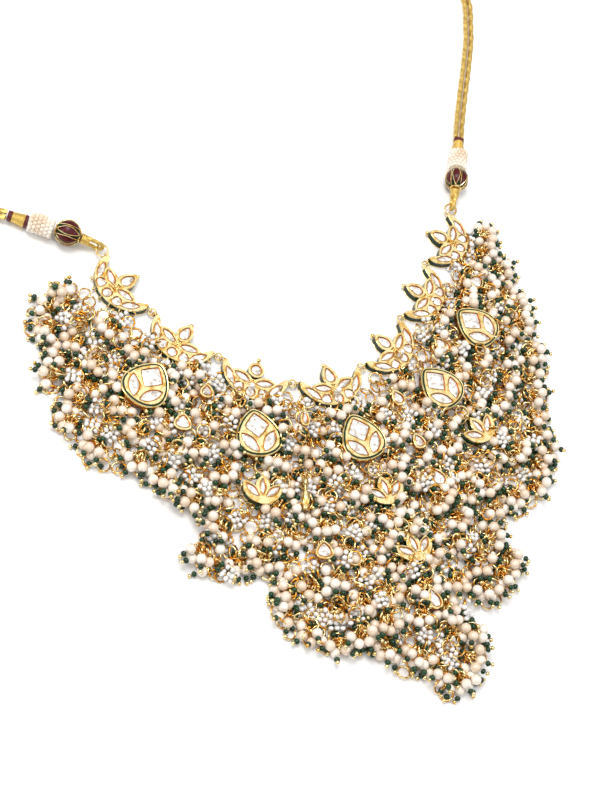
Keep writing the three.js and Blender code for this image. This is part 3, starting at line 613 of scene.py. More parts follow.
def crescent_parts(measure, round_top):
    """One crescent plaque: a band of five stones below a flower of three petals."""
    parts = bare_parts()
    height = measure["plaque_height"]
    radius = measure["crescent_span"] / 2 - CRESCENT_DRAW_IN
    cells = [turned(marquise(*END_STONE), step((0, 0), angle, radius + 0.7), angle + 90) for angle in (214.5, 325.5)]
    cells += [turned(pear(*NEXT_STONE, 24), step((0, 0), angle, radius + 0.15), angle + 180) for angle in (243, 297)]
    cells.append(turned(oval(*FOOT_STONE), step((0, 0), 270, radius), 0))
    walled(parts, crescent_outline(measure), cells, height)
    for side, turn in ((-1, 162), (1, 18)):
        plate, cell = turned(marquise(*PETAL), (side * 4.2, -5.0), turn), marquise(*PETAL_STONE)
        walled(parts, plate, [turned(cell, (side * 4.35, -4.95), turn)], height + PETAL_LIFT)
    if round_top:
        plate, cell = turned(oval(*ROUND_PETAL), (0, -0.6), 90), turned(oval(*ROUND_STONE), (0, -0.6), 90)
    else:
        plate, cell = turned(pear(*TOP_PETAL), (0, -0.2), 90), turned(pear(*TOP_STONE), (0, -0.35), 90)
    walled(parts, plate, [cell], height + PETAL_LIFT)

    # Gold rosette of seven grains on its cup, where the three petals meet; the cup is gold darkened to amber as
    # painted shade
    parts["amber_shade"].append(placed(loft([(oval(4.4, 4.4), 0.0), (oval(3.6, 3.6), height + 0.4)], high=True), (0, -6.2)))
    for number in range(7):
        where = step((0, -5.9), number * 60, 0.95 if number < 6 else 0.0)
        parts["gold"].append(ball(GRAIN_RADIUS, (*where, height + 0.62), 8, 6))

    # Finial between the horns, and the eyes at the horns and along the band
    parts["gold"].append(ball(FINIAL_RADIUS, (0, 4.6, height / 2 + 0.3)))
    parts["gold"].append(placed(lathe([(0, 0.45), (2.0, 0.35)], 8), (0, 2.6, height / 2 + 0.3), 90))
    reach = measure["crescent_span"] / 2 + HORN_HALF_WIDTH + EYE_REACH
    parts["gold"] += [upright_eye((side * reach, 0), 0) for side in (-1, 1)]
    depth = radius + measure["crescent_band"] / 2 + EYE_REACH - 0.35
    parts["gold"] += [upright_eye(step((0, 0), angle, depth), angle) for angle in BAND_EYES]
    return parts


def pear_parts(measure, carries):
    """One pear pendant: cup of gold darkened to amber as painted shade, green line, and a kite stone above two
    leaves.
    """
    parts = bare_parts()
    height = measure["pear_height"]
    face = height + 0.5
    middle = -(EYE_REACH + measure["pear_length"] / 2)
    outline = turned(pear(measure["pear_length"], measure["pear_width"], 56), (0, middle), 90)
    cup = ((-1.0, 0.0), (-0.3, 0.35), (-0.05, 1.2), (0.0, height - 0.6))
    rim = (
        (0.0, height - 0.6), (0.12, height - 0.45), (0.12, height + 0.1), (-0.1, height + 0.28),
        (-0.38, height + 0.22), (-0.42, height - 0.05),
    )
    plate = offset(outline, -1.0)
    cells = [turned(kite(*KITE_STONE), (0, middle + 2.75), 90)]
    cells += [turned(marquise(*LEAF_STONE), (side * 3.65, middle - 3.7), 90 - side * 34) for side in (-1, 1)]
    parts["amber_shade"].append(profiled(outline, *cup, low=True))
    parts["leaf"].append(profiled(outline, (-0.38, height + 0.12), (-1.06, height + 0.12)))
    parts["gold"] += [
        profiled(outline, *rim), profiled(plate, (0.0, height), (0.0, face - 0.12), (-0.12, face)),
        pierced_face(offset(plate, -0.12), cells, face), upright_eye((0, 0), 90),
    ]
    for cell in cells:
        set_stone(parts, cell, height, face)
    if carries:
        parts["gold"].append(upright_eye((0, -(measure["pear_length"] + 2 * EYE_REACH)), 90))
    return parts


def bent(start, first, second, end, points=9):
    """Points of a curve from start up to, but without, its end."""
    found = []
    for index in range(points):
        t = index / points
        weights = ((1 - t) ** 3, 3 * t * (1 - t) ** 2, 3 * t * t * (1 - t), t**3)
        corners = (start, first, second, end)
        found.append([sum(weight * corner[axis] for weight, corner in zip(weights, corners)) for axis in (0, 1)])
    return found


def lotus_parts(measure):
    """One lotus plaque: three petals that rise from a round bowl."""
    parts = bare_parts()
    long = measure["petal_length"]
    root = (0, -(EYE_REACH + long))
    right = step(root, 90 - LOTUS_FAN, long)
    left = step(root, 90 + LOTUS_FAN, long)
    top, foot = (0, -EYE_REACH - 0.1), (0, root[1] - 1.9)
    outline = (
        bent(foot, (4.6, foot[1] + 0.2), (8.2, root[1] + 2.2), right)
        + bent(right, (4.9, right[1] - 0.2), (3.2, right[1] - 1.4), (2.5, root[1] + 4.6), 6)
        + bent((2.5, root[1] + 4.6), (2.9, root[1] + 6.6), (1.2, top[1] - 1.4), top, 6)
        + bent(top, (-1.2, top[1] - 1.4), (-2.9, root[1] + 6.6), (-2.5, root[1] + 4.6), 6)
        + bent((-2.5, root[1] + 4.6), (-3.2, left[1] - 1.4), (-4.9, left[1] - 0.2), left, 6)
        + bent(left, (-8.2, root[1] + 2.2), (-4.6, foot[1] + 0.2), foot)
    )
    cells = [turned(marquise(*LOTUS_MIDDLE_STONE), (0, root[1] + 4.7), 90)]
    for side in (-1, 1):
        turn = 90 - side * LOTUS_FAN
        cells.append(turned(marquise(*LOTUS_SIDE_STONE), step(step(root, turn, long * 0.54), 270, 0.3), turn))
    walled(parts, np.array(outline), cells, LOTUS_HEIGHT)
    parts["gold"].append(upright_eye((0, 0), 90))
    return parts


def drop_parts(span, width):
    """One small drop: a pear stone in a thin gold collet."""
    parts = bare_parts()
    outline = turned(pear(span, width), (0, -(EYE_REACH + span / 2)), 90)
    hole = offset(outline, -0.62)
    # The collet's cup is gold darkened to amber as painted shade
    parts["amber_shade"].append(profiled(outline, (-0.8, 0.0), (-0.1, 0.6), (0.0, 2.1), low=True))
    parts["gold"] += [
        profiled(outline, (0.0, 2.0), (0.1, 2.2), (0.08, 2.7), (-0.1, DROP_FACE)),
        pierced_face(offset(outline, -0.1), [hole], DROP_FACE), upright_eye((0, 0), 90),
    ]
    set_stone(parts, hole, 2.3, DROP_FACE, 0.3)
    return parts


# Materials


def add(tree, kind, settings=None, **links):
    """Adds a node with its settings and its links from other nodes' outputs."""
    node = tree.nodes.new(kind)
    for key, value in (settings or {}).items():
        if key in node.inputs:
            node.inputs[key].default_value = value
        else:
            setattr(node, key, value)
    for key, socket in links.items():
        tree.links.new(socket, node.inputs[key.replace("_", " ")])
    return node


# The shaders' own numbers for metal, fired enamel, rocaille glass and wound thread
METAL = {"Metallic": 1.0}
ENAMEL = {"Roughness": 0.3, "IOR": 1.45, "Specular IOR Level": 0.35}
ROCAILLE = {"IOR": 1.45, "Coat Weight": 0.2, "Coat Roughness": 0.06}
THREAD = {"Roughness": 0.42}

# Each finish: its name, its low tone with the share of its light that stays, its high tone, the size of its
# patches in millimetres, where the tones meet, the detail of the patches, its relief as (grain size in
# millimetres, strength, depth in millimetres) if it has one, and the shader's own numbers
FINISHES = {
    # Gold-plated brass, hand finished: a pale warm mirror whose faint ripples break up its highlights, with warmer
    # patches that are painted shade and painted reflection
    "gold": (
        "hand-finished gold plate", ("gold_deep", 1.0), "gold", 2.2, (0.34, 0.54), 2.0, (0.8, 0.22, 0.1),
        METAL | {"Roughness": 0.22},
    ),
    # The same plate in hollows and cups, darkened to amber brown: painted shade and painted reflection of the gold
    # around it
    "amber_shade": (
        "deep gold plate", ("amber_shade", 0.55), "amber_shade", 1.4, (0.4, 0.6), 2.0, (0.6, 0.3, 0.1),
        METAL | {"Roughness": 0.32},
    ),
    # Drawn gold wire: bright yellow and amber in random patches, the amber a painted shade and painted reflection for
    # its bends catching the light and each other
    "wire": ("drawn gold wire", ("amber_shade", 1.0), "gold", 1.6, (0.42, 0.58), 2.0, None, METAL | {"Roughness": 0.2}),
    # Cut glass over silver foil: white facets with grey and warm patches of painted reflection from the foil
    "stone": (
        "foiled kundan glass", ("foil", 1.0), "stone", 1.6, (0.34, 0.5), 1.0, None,
        {"Metallic": 0.35, "Roughness": 0.1, "IOR": 1.52, "Coat Weight": 1.0, "Coat Roughness": 0.03},
    ),
    # Meenakari enamel, fired in thin layers: deep glassy green and red, a little uneven
    "leaf": ("dark green fired enamel", ("leaf", 0.6), "leaf", 2.0, (0.4, 0.6), 2.0, (0.7, 0.2, 0.05), ENAMEL),
    "ruby": ("dark red fired enamel", ("ruby", 0.6), "ruby", 2.0, (0.4, 0.6), 2.0, (0.7, 0.2, 0.05), ENAMEL),
    # Coated glass pearl: cream body with a soft sheen, warmer on some beads than on others
    "pearl": (
        "cream glass pearl", ("pearl_shade", 1.0), "pearl", 7.0, (0.38, 0.58), 1.0, None,
        {"Roughness": 0.25, "IOR": 1.55, "Coat Weight": 1.0, "Coat Roughness": 0.06},
    ),
    # Moulded rocaille glass: small bright beads whose colour wanders from bead to bead
    "seed": (
        "white rocaille glass", ("seed", 0.93), "seed", 3.5, (0.4, 0.6), 1.0, None, ROCAILLE | {"Roughness": 0.28},
    ),
    "green": (
        "dark green rocaille glass", ("green", 0.5), "green", 3.5, (0.4, 0.6), 1.0, None,
        ROCAILLE | {"Roughness": 0.14},
    ),
    # Thread with a metallic wrap, and plain silk, wound closely: fine windings that glint. A real thread is
    # about 0.2 mm thick, and the grain is drawn coarser than that so that it shows
    "thread": (
        "gold zari thread", ("thread", 0.6), "thread", 0.35, (0.35, 0.55), 4.0, (0.35, 0.6, 0.12),
        THREAD | {"Metallic": 0.7},
    ),
    "maroon": (
        "maroon silk thread", ("maroon", 0.6), "maroon", 0.35, (0.35, 0.55), 4.0, (0.35, 0.6, 0.12),
        THREAD | {"Metallic": 0.0},
    ),
    # Smooth matt board, white with a barely visible mottle
    "table": (
        "white matt board", ("table", 0.985), "table", 60.0, (0.4, 0.6), 3.0, None, {"Roughness": 0.7},
    ),
}
MATERIALS = {}


def finish(name, low, high, patch, meet, detail, relief, values):
    """A material whose tone wanders between two colours in soft patches, with fine relief if it has one."""
    material = bpy.data.materials.new(name)
    material.use_nodes = True
    tree = material.node_tree
    shader = tree.nodes["Principled BSDF"]
    for key, value in values.items():
        shader.inputs[key].default_value = value
    where = add(tree, "ShaderNodeTexCoord").outputs["Object"]
    blotch = add(tree, "ShaderNodeTexNoise", {"Scale": 1 / (patch * MM), "Detail": detail}, Vector=where)
    limits = {"From Min": meet[0], "From Max": meet[1]}
    spread = add(tree, "ShaderNodeMapRange", limits, Value=blotch.outputs["Fac"])
    shade = tuple(part * low[1] for part in tone(low[0])[:3]) + (1.0,)
    tint = add(tree, "ShaderNodeMixRGB", {"Color1": shade, "Color2": tone(high)}, Fac=spread.outputs["Result"])
    tree.links.new(tint.outputs["Color"], shader.inputs["Base Color"])
    if relief:
        grain, strength, depth = relief
        bumps = add(tree, "ShaderNodeTexNoise", {"Scale": 1 / (grain * MM), "Detail": detail}, Vector=where)
        limits = {"Strength": strength, "Distance": depth * MM}
        raised = add(tree, "ShaderNodeBump", limits, Height=bumps.outputs["Fac"])
        tree.links.new(raised.outputs["Normal"], shader.inputs["Normal"])
    return material


def finish_of(key):
    """The material of that key, made once."""
    if key not in MATERIALS:
        MATERIALS[key] = finish(*FINISHES[key])
    return MATERIALS[key]


# Pieces


def shown(name, mesh, nodes=()):
    """A finished piece of the necklace at the origin."""
    piece = bpy.data.objects.new(name, mesh)
    bpy.context.scene.collection.objects.link(piece)
    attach(piece, "root")
    if nodes:
        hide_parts(*nodes)
    return piece


def make_mesh(name, skin, keys, smooth=35.0, marks=None):
    """A mesh in metres from a skin laid out in millimetres, with its materials."""
    points, faces = skin
    mesh = bpy.data.meshes.new(name)
    mesh.from_pydata([tuple(point) for point in (points - MIDDLE) * MM], [], faces)
    mesh.polygons.foreach_set("use_smooth", [smooth > 0] * len(mesh.polygons))
    if smooth > 0:
        mesh.set_sharp_from_angle(angle=math.radians(smooth))
    for key in keys:
        mesh.materials.append(finish_of(key))
    if marks is not None:
        mesh.polygons.foreach_set("material_index", marks)
    mesh.validate()
    return mesh


def made(name, skin, key="gold", nodes=(), smooth=35.0):
    """A piece of one finish."""
    return shown(name, make_mesh(name, skin, [key], smooth), nodes)


# Beads and rings set on points by Geometry Nodes


def new_tree(name, numbers):
    """A node tree with a geometry, number inputs and a material input, and its input node."""
    tree = bpy.data.node_groups.new(name, "GeometryNodeTree")
    tree.interface.new_socket("Points", in_out="INPUT", socket_type="NodeSocketGeometry")
    for label, kind in numbers:
        tree.interface.new_socket(label, in_out="INPUT", socket_type=kind)
    tree.interface.new_socket("Material", in_out="INPUT", socket_type="NodeSocketMaterial")
    tree.interface.new_socket("Geometry", in_out="OUTPUT", socket_type="NodeSocketGeometry")
    return tree, add(tree, "NodeGroupInput").outputs


def set_out(tree, given, form):
    """Puts the form on every point with its own turn and size, realised and given its material."""
    turn = add(tree, "GeometryNodeInputNamedAttribute", {"data_type": "FLOAT_VECTOR", "Name": "turn"})
    size = add(tree, "GeometryNodeInputNamedAttribute", {"data_type": "FLOAT", "Name": "size"})
    rotation = add(tree, "FunctionNodeEulerToRotation", Euler=turn.outputs["Attribute"])
    spread = add(
        tree, "GeometryNodeInstanceOnPoints", Points=given["Points"], Instance=form,
        Rotation=rotation.outputs["Rotation"], Scale=size.outputs["Attribute"],
    )
    whole = add(tree, "GeometryNodeRealizeInstances", Geometry=spread.outputs["Instances"])
    smooth = add(tree, "GeometryNodeSetShadeSmooth", Geometry=whole.outputs["Geometry"])
    painted = add(tree, "GeometryNodeSetMaterial", Geometry=smooth.outputs["Geometry"], Material=given["Material"])
    add(tree, "NodeGroupOutput", Geometry=painted.outputs["Geometry"])


def bead_tree():
    """Beads: a ball slightly flattened along its string."""
    numbers = [
        ("Radius", "NodeSocketFloat"), ("Flatness", "NodeSocketFloat"),
        ("Segments", "NodeSocketInt"), ("Rings", "NodeSocketInt"),
    ]
    tree, given = new_tree("strung beads", numbers)
    shape = {key: given[key] for key in ("Segments", "Rings", "Radius")}
    sphere = add(tree, "GeometryNodeMeshUVSphere", **shape)
    squash = add(tree, "ShaderNodeCombineXYZ", {"X": 1.0, "Y": 1.0}, Z=given["Flatness"])
    scaled = add(tree, "GeometryNodeTransform", Geometry=sphere.outputs["Mesh"], Scale=squash.outputs["Vector"])
    set_out(tree, given, scaled.outputs["Geometry"])
    return tree


def ring_tree():
    """Rings: round wire bent to a circle."""
    numbers = [
        ("Radius", "NodeSocketFloat"), ("Wire", "NodeSocketFloat"),
        ("Segments", "NodeSocketInt"), ("Sides", "NodeSocketInt"),
    ]
    tree, given = new_tree("wire rings", numbers)
    line = add(tree, "GeometryNodeCurvePrimitiveCircle", Resolution=given["Segments"], Radius=given["Radius"])
    section = add(tree, "GeometryNodeCurvePrimitiveCircle", Resolution=given["Sides"], Radius=given["Wire"])
    skin = add(tree, "GeometryNodeCurveToMesh", Curve=line.outputs["Curve"], Profile_Curve=section.outputs["Curve"])
    set_out(tree, given, skin.outputs["Mesh"])
    return tree


TREES = {}


def scattered(name, kind, points, axes, key, slot, values, nodes=(), spread=0.0, seed=0):
    """Beads or rings on points in millimetres, each turned so that its z axis follows axes."""
    if kind not in TREES:
        TREES[kind] = bead_tree() if kind == "bead" else ring_tree()
    tree = TREES[kind]
    random = np.random.default_rng(seed)
    mesh = bpy.data.meshes.new(name)
    mesh.from_pydata([tuple(point) for point in (np.asarray(points) - MIDDLE) * MM], [], [])
    mesh.attributes.new("turn", "FLOAT_VECTOR", "POINT")
    mesh.attributes.new("size", "FLOAT", "POINT")
    turns = [tuple(Vector(axis).to_track_quat("Z", "Y").to_euler()) for axis in axes]
    mesh.attributes["turn"].data.foreach_set("vector", np.array(turns).ravel())
    mesh.attributes["size"].data.foreach_set("value", 1.0 - spread * random.random(len(points)))
    carrier = bpy.data.objects.new(name, mesh)
    bpy.context.scene.collection.objects.link(carrier)
    modifier = carrier.modifiers.new("set out", "NODES")
    modifier.node_group = tree
    inputs = {item.name: item.identifier for item in tree.interface.items_tree if item.in_out == "INPUT"}
    for label, value in values.items():
        modifier[inputs[label]] = value
    modifier[inputs["Material"]] = finish_of(key)
    bpy.context.view_layer.update()
    whole = bpy.data.meshes.new_from_object(carrier.evaluated_get(bpy.context.evaluated_depsgraph_get()))
    bpy.data.objects.remove(carrier)
    return shown(name, whole, nodes)


# The loose fringe: strings of beads and pearl charms that settle among the plaques


def resampled(points, gap):
    """The line through the points with even steps of about that gap."""
    points = np.asarray(points, float)
    far = np.concatenate([[0.0], np.cumsum(np.linalg.norm(np.diff(points, axis=0), axis=1))])
    marks = np.linspace(0, far[-1], max(3, int(round(far[-1] / gap)) + 1))
    return np.column_stack([np.interp(marks, far, points[:, axis]) for axis in range(points.shape[1])])


def fringe_field(measure):
    """Closed edge of the fringe: its outer edge as it lies, and the row of plaques."""
    places, _ = lay_row(measure)
    row = [step(place, turn - 90, 7.0) for place, turn in zip(places, CRESCENT_TURNS)]
    return np.concatenate([np.array(FRINGE_EDGE, float) + CENTRE, np.array(row[::-1])])


def within(points, edge):
    """For each point: whether it lies within the closed edge, how far from it, and its nearest point there."""
    start, end = edge, np.roll(edge, -1, axis=0)
    x, y = points[:, :1], points[:, 1:2]
    rising = end[:, 1] - start[:, 1]
    cross = start[:, 0] + (y - start[:, 1]) * (end[:, 0] - start[:, 0]) / np.where(rising == 0, 1e-9, rising)
    inside = (((start[:, 1] > y) != (end[:, 1] > y)) & (x < cross)).sum(axis=1) % 2 == 1
    side = end - start
    away = points[:, None, :] - start
    share = np.clip((away * side).sum(axis=2) / (side**2).sum(axis=1), 0, 1)
    nearest = start + share[:, :, None] * side
    far = np.linalg.norm(points[:, None, :] - nearest, axis=2)
    pick = far.argmin(axis=1)
    rows = np.arange(len(points))
    return inside, far[rows, pick], nearest[rows, pick]


def tassel_heads(measure, discs, random):
    """Each tassel's hanging point and direction: a row along the outer edge, and even rows inside it."""
    gap = measure["tassel_spacing"]
    edge = fringe_field(measure)
    outer = resampled(np.array(FRINGE_EDGE, float) + CENTRE, gap * 0.62)
    heads = []

    def offer(spot, way, space):
        inside, far, _ = within(spot[None, :], edge)
        on_plaque = np.any(np.hypot(*(discs[:, :2] - spot).T) < discs[:, 2] - 1.0)
        crowded = any(np.hypot(*(spot - other)) < space for other, _ in heads)
        if inside[0] and far[0] > 4.0 and not on_plaque and not crowded:
            heads.append((spot, way))

    for before, spot, after in zip(outer, outer[1:], outer[2:]):
        along = (after - before) / np.linalg.norm(after - before)
        outward = np.array([along[1], -along[0]])
        sway = math.atan2(outward[1], outward[0]) + random.normal(0, 0.3)
        head = spot - outward * TASSEL_REACH * random.uniform(0.85, 1.3)
        offer(head, np.array([math.cos(sway), math.sin(sway)]), gap * 0.55)
    places, _ = lay_row(measure)
    source = np.array(places)
    for row in range(-14, 15):
        for column in range(-14, 15):
            spot = np.array([(column + 0.5 * (row % 2)) * gap, row * gap * ROW_RISE])
            spot = spot + random.uniform(-0.2, 0.2, 2) * gap
            away = spot - source
            pull = (away / (np.linalg.norm(away, axis=1)[:, None] + 4.0) ** 2.5).sum(axis=0)
            angle = math.atan2(pull[1], pull[0]) + random.normal(0, 0.35)
            offer(spot, np.array([math.cos(angle), math.sin(angle)]), gap * 0.62)
    return heads


class Fringe:
    """Loose beads as balls tied by distances."""

    def __init__(self):
        self.places, self.kinds, self.ties, self.group = [], [], [], []

    def put(self, kind, place, group):
        """Adds a bead. Beads of one group may touch, and -1 stands for no group."""
        self.places.append(place)
        self.kinds.append(kind)
        self.group.append(group)
        return len(self.places) - 1

    def tie(self, first, second, distance, slack=False):
        """Keeps two beads at a distance, or within it where the tie is slack."""
        self.ties.append((first, second, distance, slack))


def hang_fringe(measure, discs, random):
    """All the tassels before they settle: charms on a jump ring that hangs from three short strings."""
    fringe = Fringe()
    group = 0
    for head, way in tassel_heads(measure, discs, random):
        centre = np.array([head[0], head[1], random.uniform(2.5, 7.5)])
        hold = fringe.put("ring", centre, -1)
        course = math.atan2(way[1], way[0])
        charms = int(random.integers(4, 7))
        for number in range(charms):
            group += 1
            angle = course + math.radians((number / (charms - 1) - 0.5) * CHARM_SPREAD) + random.normal(0, 0.18)
            rise = random.normal(0, 0.3)
            along = np.array([math.cos(angle) * math.cos(rise), math.sin(angle) * math.cos(rise), math.sin(rise)])
            chain = [fringe.put(kind, centre + along * reach, group) for kind, reach in CHARM]
            fringe.tie(hold, chain[0], CHARM[0][1], True)
            for first in range(len(CHARM)):
                for second in range(first + 1, len(CHARM)):
                    fringe.tie(chain[first], chain[second], CHARM[second][1] - CHARM[first][1])
        back = np.array([way[0], way[1], 0.0])
        top = fringe.put("ring", centre - back * STRING_RUN, -1)
        for number in range(3):
            group += 1
            sway = (number - 1) * STRING_SWAY
            before, reach = top, 0.0
            for kind, gap in STRING:
                reach += gap
                bulge = sway * math.sin(math.pi * reach / 9.5)
                spot = centre - back * (STRING_RUN - reach)
                spot = spot + np.array([-way[1] * bulge, way[0] * bulge, random.normal(0, 0.4)])
                bead = fringe.put(kind, spot, group)
                fringe.tie(before, bead, gap)
                before = bead
            fringe.tie(before, hold, 1.9, True)
    return fringe


def plaque_discs(measure):
    """Discs that cover the plaques, as (x, y, radius), which the beads lie around."""
    discs = []
    places, _ = lay_row(measure)
    radius = measure["crescent_span"] / 2 - CRESCENT_DRAW_IN

    def spot(place, turn, local, reach):
        angle = math.radians(turn)
        x = place[0] + local[0] * math.cos(angle) - local[1] * math.sin(angle)
        y = place[1] + local[0] * math.sin(angle) + local[1] * math.cos(angle)
        discs.append((x, y, reach))

    for place, turn in zip(places, CRESCENT_TURNS):
        for angle in range(190, 351, 16):
            reach = 1.2 + 1.7 * math.sin(math.radians(angle - 180))**2
            spot(place, turn, step((0, 0), angle, radius + 0.6), abs(reach))
        for local, reach in (((-4.1, -5.0), 4.0), ((4.1, -5.0), 4.0), ((0, -2.0), 4.2), ((0, 3.0), 2.2)):
            spot(place, turn, local, reach)
        spot(place, turn, (-7.5, -3.0), 3.0)
        spot(place, turn, (7.5, -3.0), 3.0)
    pears, lotuses = lay_pendants(measure)
    for place, _, turn in pears:
        middle = -(EYE_REACH + measure["pear_length"] / 2)
        for local, reach in (((0, middle - 1.6), 7.9), ((0, middle + 3.2), 6.3), ((0, middle + 6.8), 3.4)):
            spot(place, turn, local, reach)
    for place, _, turn in lotuses:
        root = (0, -(EYE_REACH + measure["petal_length"]))
        for fan in (-1, 0, 1):
            spot(place, turn, step(root, 90 - fan * LOTUS_FAN, measure["petal_length"] * 0.55), 3.0)
        spot(place, turn, (0, root[1] + 1.0), 2.6)
    for place, turn, span, width in drop_places(measure) + CHARMS:
        spot(place, turn, (0, -(EYE_REACH + span * 0.55)), width * 0.5)
    discs += [(*step(*SWIVEL, reach), 1.5) for reach in (1.5, 5.0, 8.0, 10.5)]
    return np.array(discs)


def settle(fringe, discs, edge, rounds):
    """Lets the beads fall, spread and come to rest inside the edge, without lying in each other."""
    spots = np.array(fringe.places, float)
    home = spots[:, :2].copy()
    radii = np.array([KINDS[kind] for kind in fringe.kinds])
    group = np.array(fringe.group)
    loose = np.array([kind in ("ring", "link", "loop") for kind in fringe.kinds])
    first, second, reach, slack = (np.array(column) for column in zip(*fringe.ties))
    count = len(spots)
    ceiling = FRINGE_TOP - radii
    tied = set(zip(np.minimum(first, second).tolist(), np.maximum(first, second).tolist()))
    for number in range(rounds):
        if number % SEARCH_EVERY == 0:
            tree = KDTree(count)
            for index, spot in enumerate(spots):
                tree.insert(spot, index)
            tree.balance()
            near = []
            for index, spot in enumerate(spots):
                if loose[index]:
                    continue
                for _, other, _ in tree.find_range(Vector(spot), radii[index] + 2.0 + 0.9):
                    if other > index or (other < index and loose[other]):
                        a, b = min(index, other), max(index, other)
                        if (a, b) not in tied and not (group[a] == group[b] and group[a] >= 0):
                            near.append((a, b))
            pairs = np.array(near)
        shift = np.zeros((count, 3))
        share = np.zeros(count)
        for a, b, goal, tie in (
            (first, second, reach, True),
            (pairs[:, 0], pairs[:, 1], radii[pairs[:, 0]] + radii[pairs[:, 1]], False),
        ):
            between = spots[b] - spots[a]
            far = np.maximum(np.linalg.norm(between, axis=1), 1e-6)
            error = far - goal
            error = np.where(slack & (error < 0), 0.0, error) if tie else np.minimum(error, 0.0)
            push = between * (0.5 * error / far)[:, None]
            active = (np.abs(error) > 1e-4).astype(float)
            for axis in range(3):
                shift[:, axis] += np.bincount(a, push[:, axis], count) - np.bincount(b, push[:, axis], count)
            share += np.bincount(a, active, count) + np.bincount(b, active, count)
        spots += shift / np.maximum(share, 1.0)[:, None] * HASTE
        if number < rounds * STIRRED:
            spots[:, :2] += (home - spots[:, :2]) * HOMING
            spots[:, 2] -= FALL
        for x, y, size in discs:
            away = spots[:, :2] - np.array([x, y])
            far = np.maximum(np.linalg.norm(away, axis=1), 1e-6)
            need = size + radii * 0.85
            inside = far < need
            spots[inside, :2] += away[inside] * ((need[inside] - far[inside]) / far[inside])[:, None] * 0.7
        if number % 5 == 4 or number == rounds - 1:
            inside, far, nearest = within(spots[:, :2], edge)
            stray = ~inside | (far < radii)
            inward = np.where(inside[:, None], 1, -1) * (spots[:, :2] - nearest) / np.maximum(far, 1e-6)[:, None]
            spots[stray, :2] = nearest[stray] + inward[stray] * (radii[stray] + 0.1)[:, None]
        spots[:, 2] = np.clip(spots[:, 2], radii, ceiling)
    return spots


def levelled(axis, height, radius, wire):
    """The ring's axis, raised where the ring would otherwise dip into the table or stand too high."""
    axis = axis / max(np.linalg.norm(axis), 1e-6)
    lean = math.hypot(axis[0], axis[1])
    room = min(max((min(height, 9.95 - height) - wire) / radius, 0.0), 1.0)
    if lean > room:
        axis = np.array([axis[0] * room / lean, axis[1] * room / lean, math.sqrt(1 - room**2)])
    return axis


def loose_rings(measure, discs, fringe, spots, random):
    """Wide jump rings: some in a heap round each tassel's head, and an even layer below the beads."""
    radius, wire = RINGS["wire"]
    edge = fringe_field(measure)
    places = []
    for index, kind in enumerate(fringe.kinds):
        if kind == "ring":
            places += [spots[index] + random.normal(0, (2.2, 2.2, 1.4)) for _ in range(3)]
    gap = radius * 2.1
    for row in range(-40, 41):
        for column in range(-40, 41):
            spot = np.array([(column + 0.5 * (row % 2)) * gap, row * gap * ROW_RISE])
            places.append(np.array([*(spot + random.uniform(-0.3, 0.3, 2) * gap), random.uniform(0.6, 2.4)]))
    places = np.array(places)
    inside, far, _ = within(places[:, :2], edge)
    on_plaque = np.zeros(len(places), bool)
    for x, y, size in discs:
        on_plaque |= np.hypot(places[:, 0] - x, places[:, 1] - y) < size - 0.3
    places = places[inside & (far > radius + 0.8) & ~on_plaque]
    places[:, 2] = np.clip(places[:, 2], wire + 0.1, 9.8 - wire)
    axes = [levelled(random.normal(0, 1, 3) + np.array([0, 0, 1.0]), place[2], radius, wire) for place in places]
    return places, axes


def lay_fringe(measure):
    """Where each bead and ring of the fringe rests, and the way that it points, by kind."""
    random = np.random.default_rng(measure["scatter_seed"])
    discs = plaque_discs(measure)
    fringe = hang_fringe(measure, discs, random)
    spots = settle(fringe, discs, fringe_field(measure), ROUNDS)
    toward = {}
    for first, second, _, slack in fringe.ties:
        if second not in toward:
            toward[second] = first
        if first not in toward and not slack:
            toward[first] = second
    found = {kind: ([], []) for kind in KINDS}
    found["wire"] = loose_rings(measure, discs, fringe, spots, random)
    for index, kind in enumerate(fringe.kinds):
        other = toward.get(index)
        way = spots[index] - spots[other] if other is not None else np.array([0.0, 0.0, 1.0])
        if kind in RINGS:
            side = np.cross(way, random.normal(0, 1, 3) + np.array([0, 0, 1.2]))
            way = levelled(side, spots[index][2], *RINGS[kind])
        found[kind][0].append(spots[index])
        found[kind][1].append(way)
    return found


# Cord and thread


def smooth_line(points):
    """Centripetal spline through the points."""
    parts = 24
    points = [np.array(point, float) for point in points]
    points = [2 * points[0] - points[1]] + points + [2 * points[-1] - points[-2]]
    line = []
    for index in range(1, len(points) - 2):
        a, b, c, d = points[index - 1 : index + 3]
        before, here, after = (math.sqrt(np.linalg.norm(q - p)) for p, q in ((a, b), (b, c), (c, d)))
        start = ((b - a) / before - (c - a) / (before + here) + (c - b) / here) * here
        end = ((c - b) / here - (d - b) / (here + after) + (d - c) / after) * here
        for part in range(parts):
            t = part / parts
            line.append(
                (2 * t**3 - 3 * t**2 + 1) * b + (t**3 - 2 * t**2 + t) * start
                + (3 * t**2 - 2 * t**3) * c + (t**3 - t**2) * end
            )
    line.append(points[-2])
    return np.array(line)


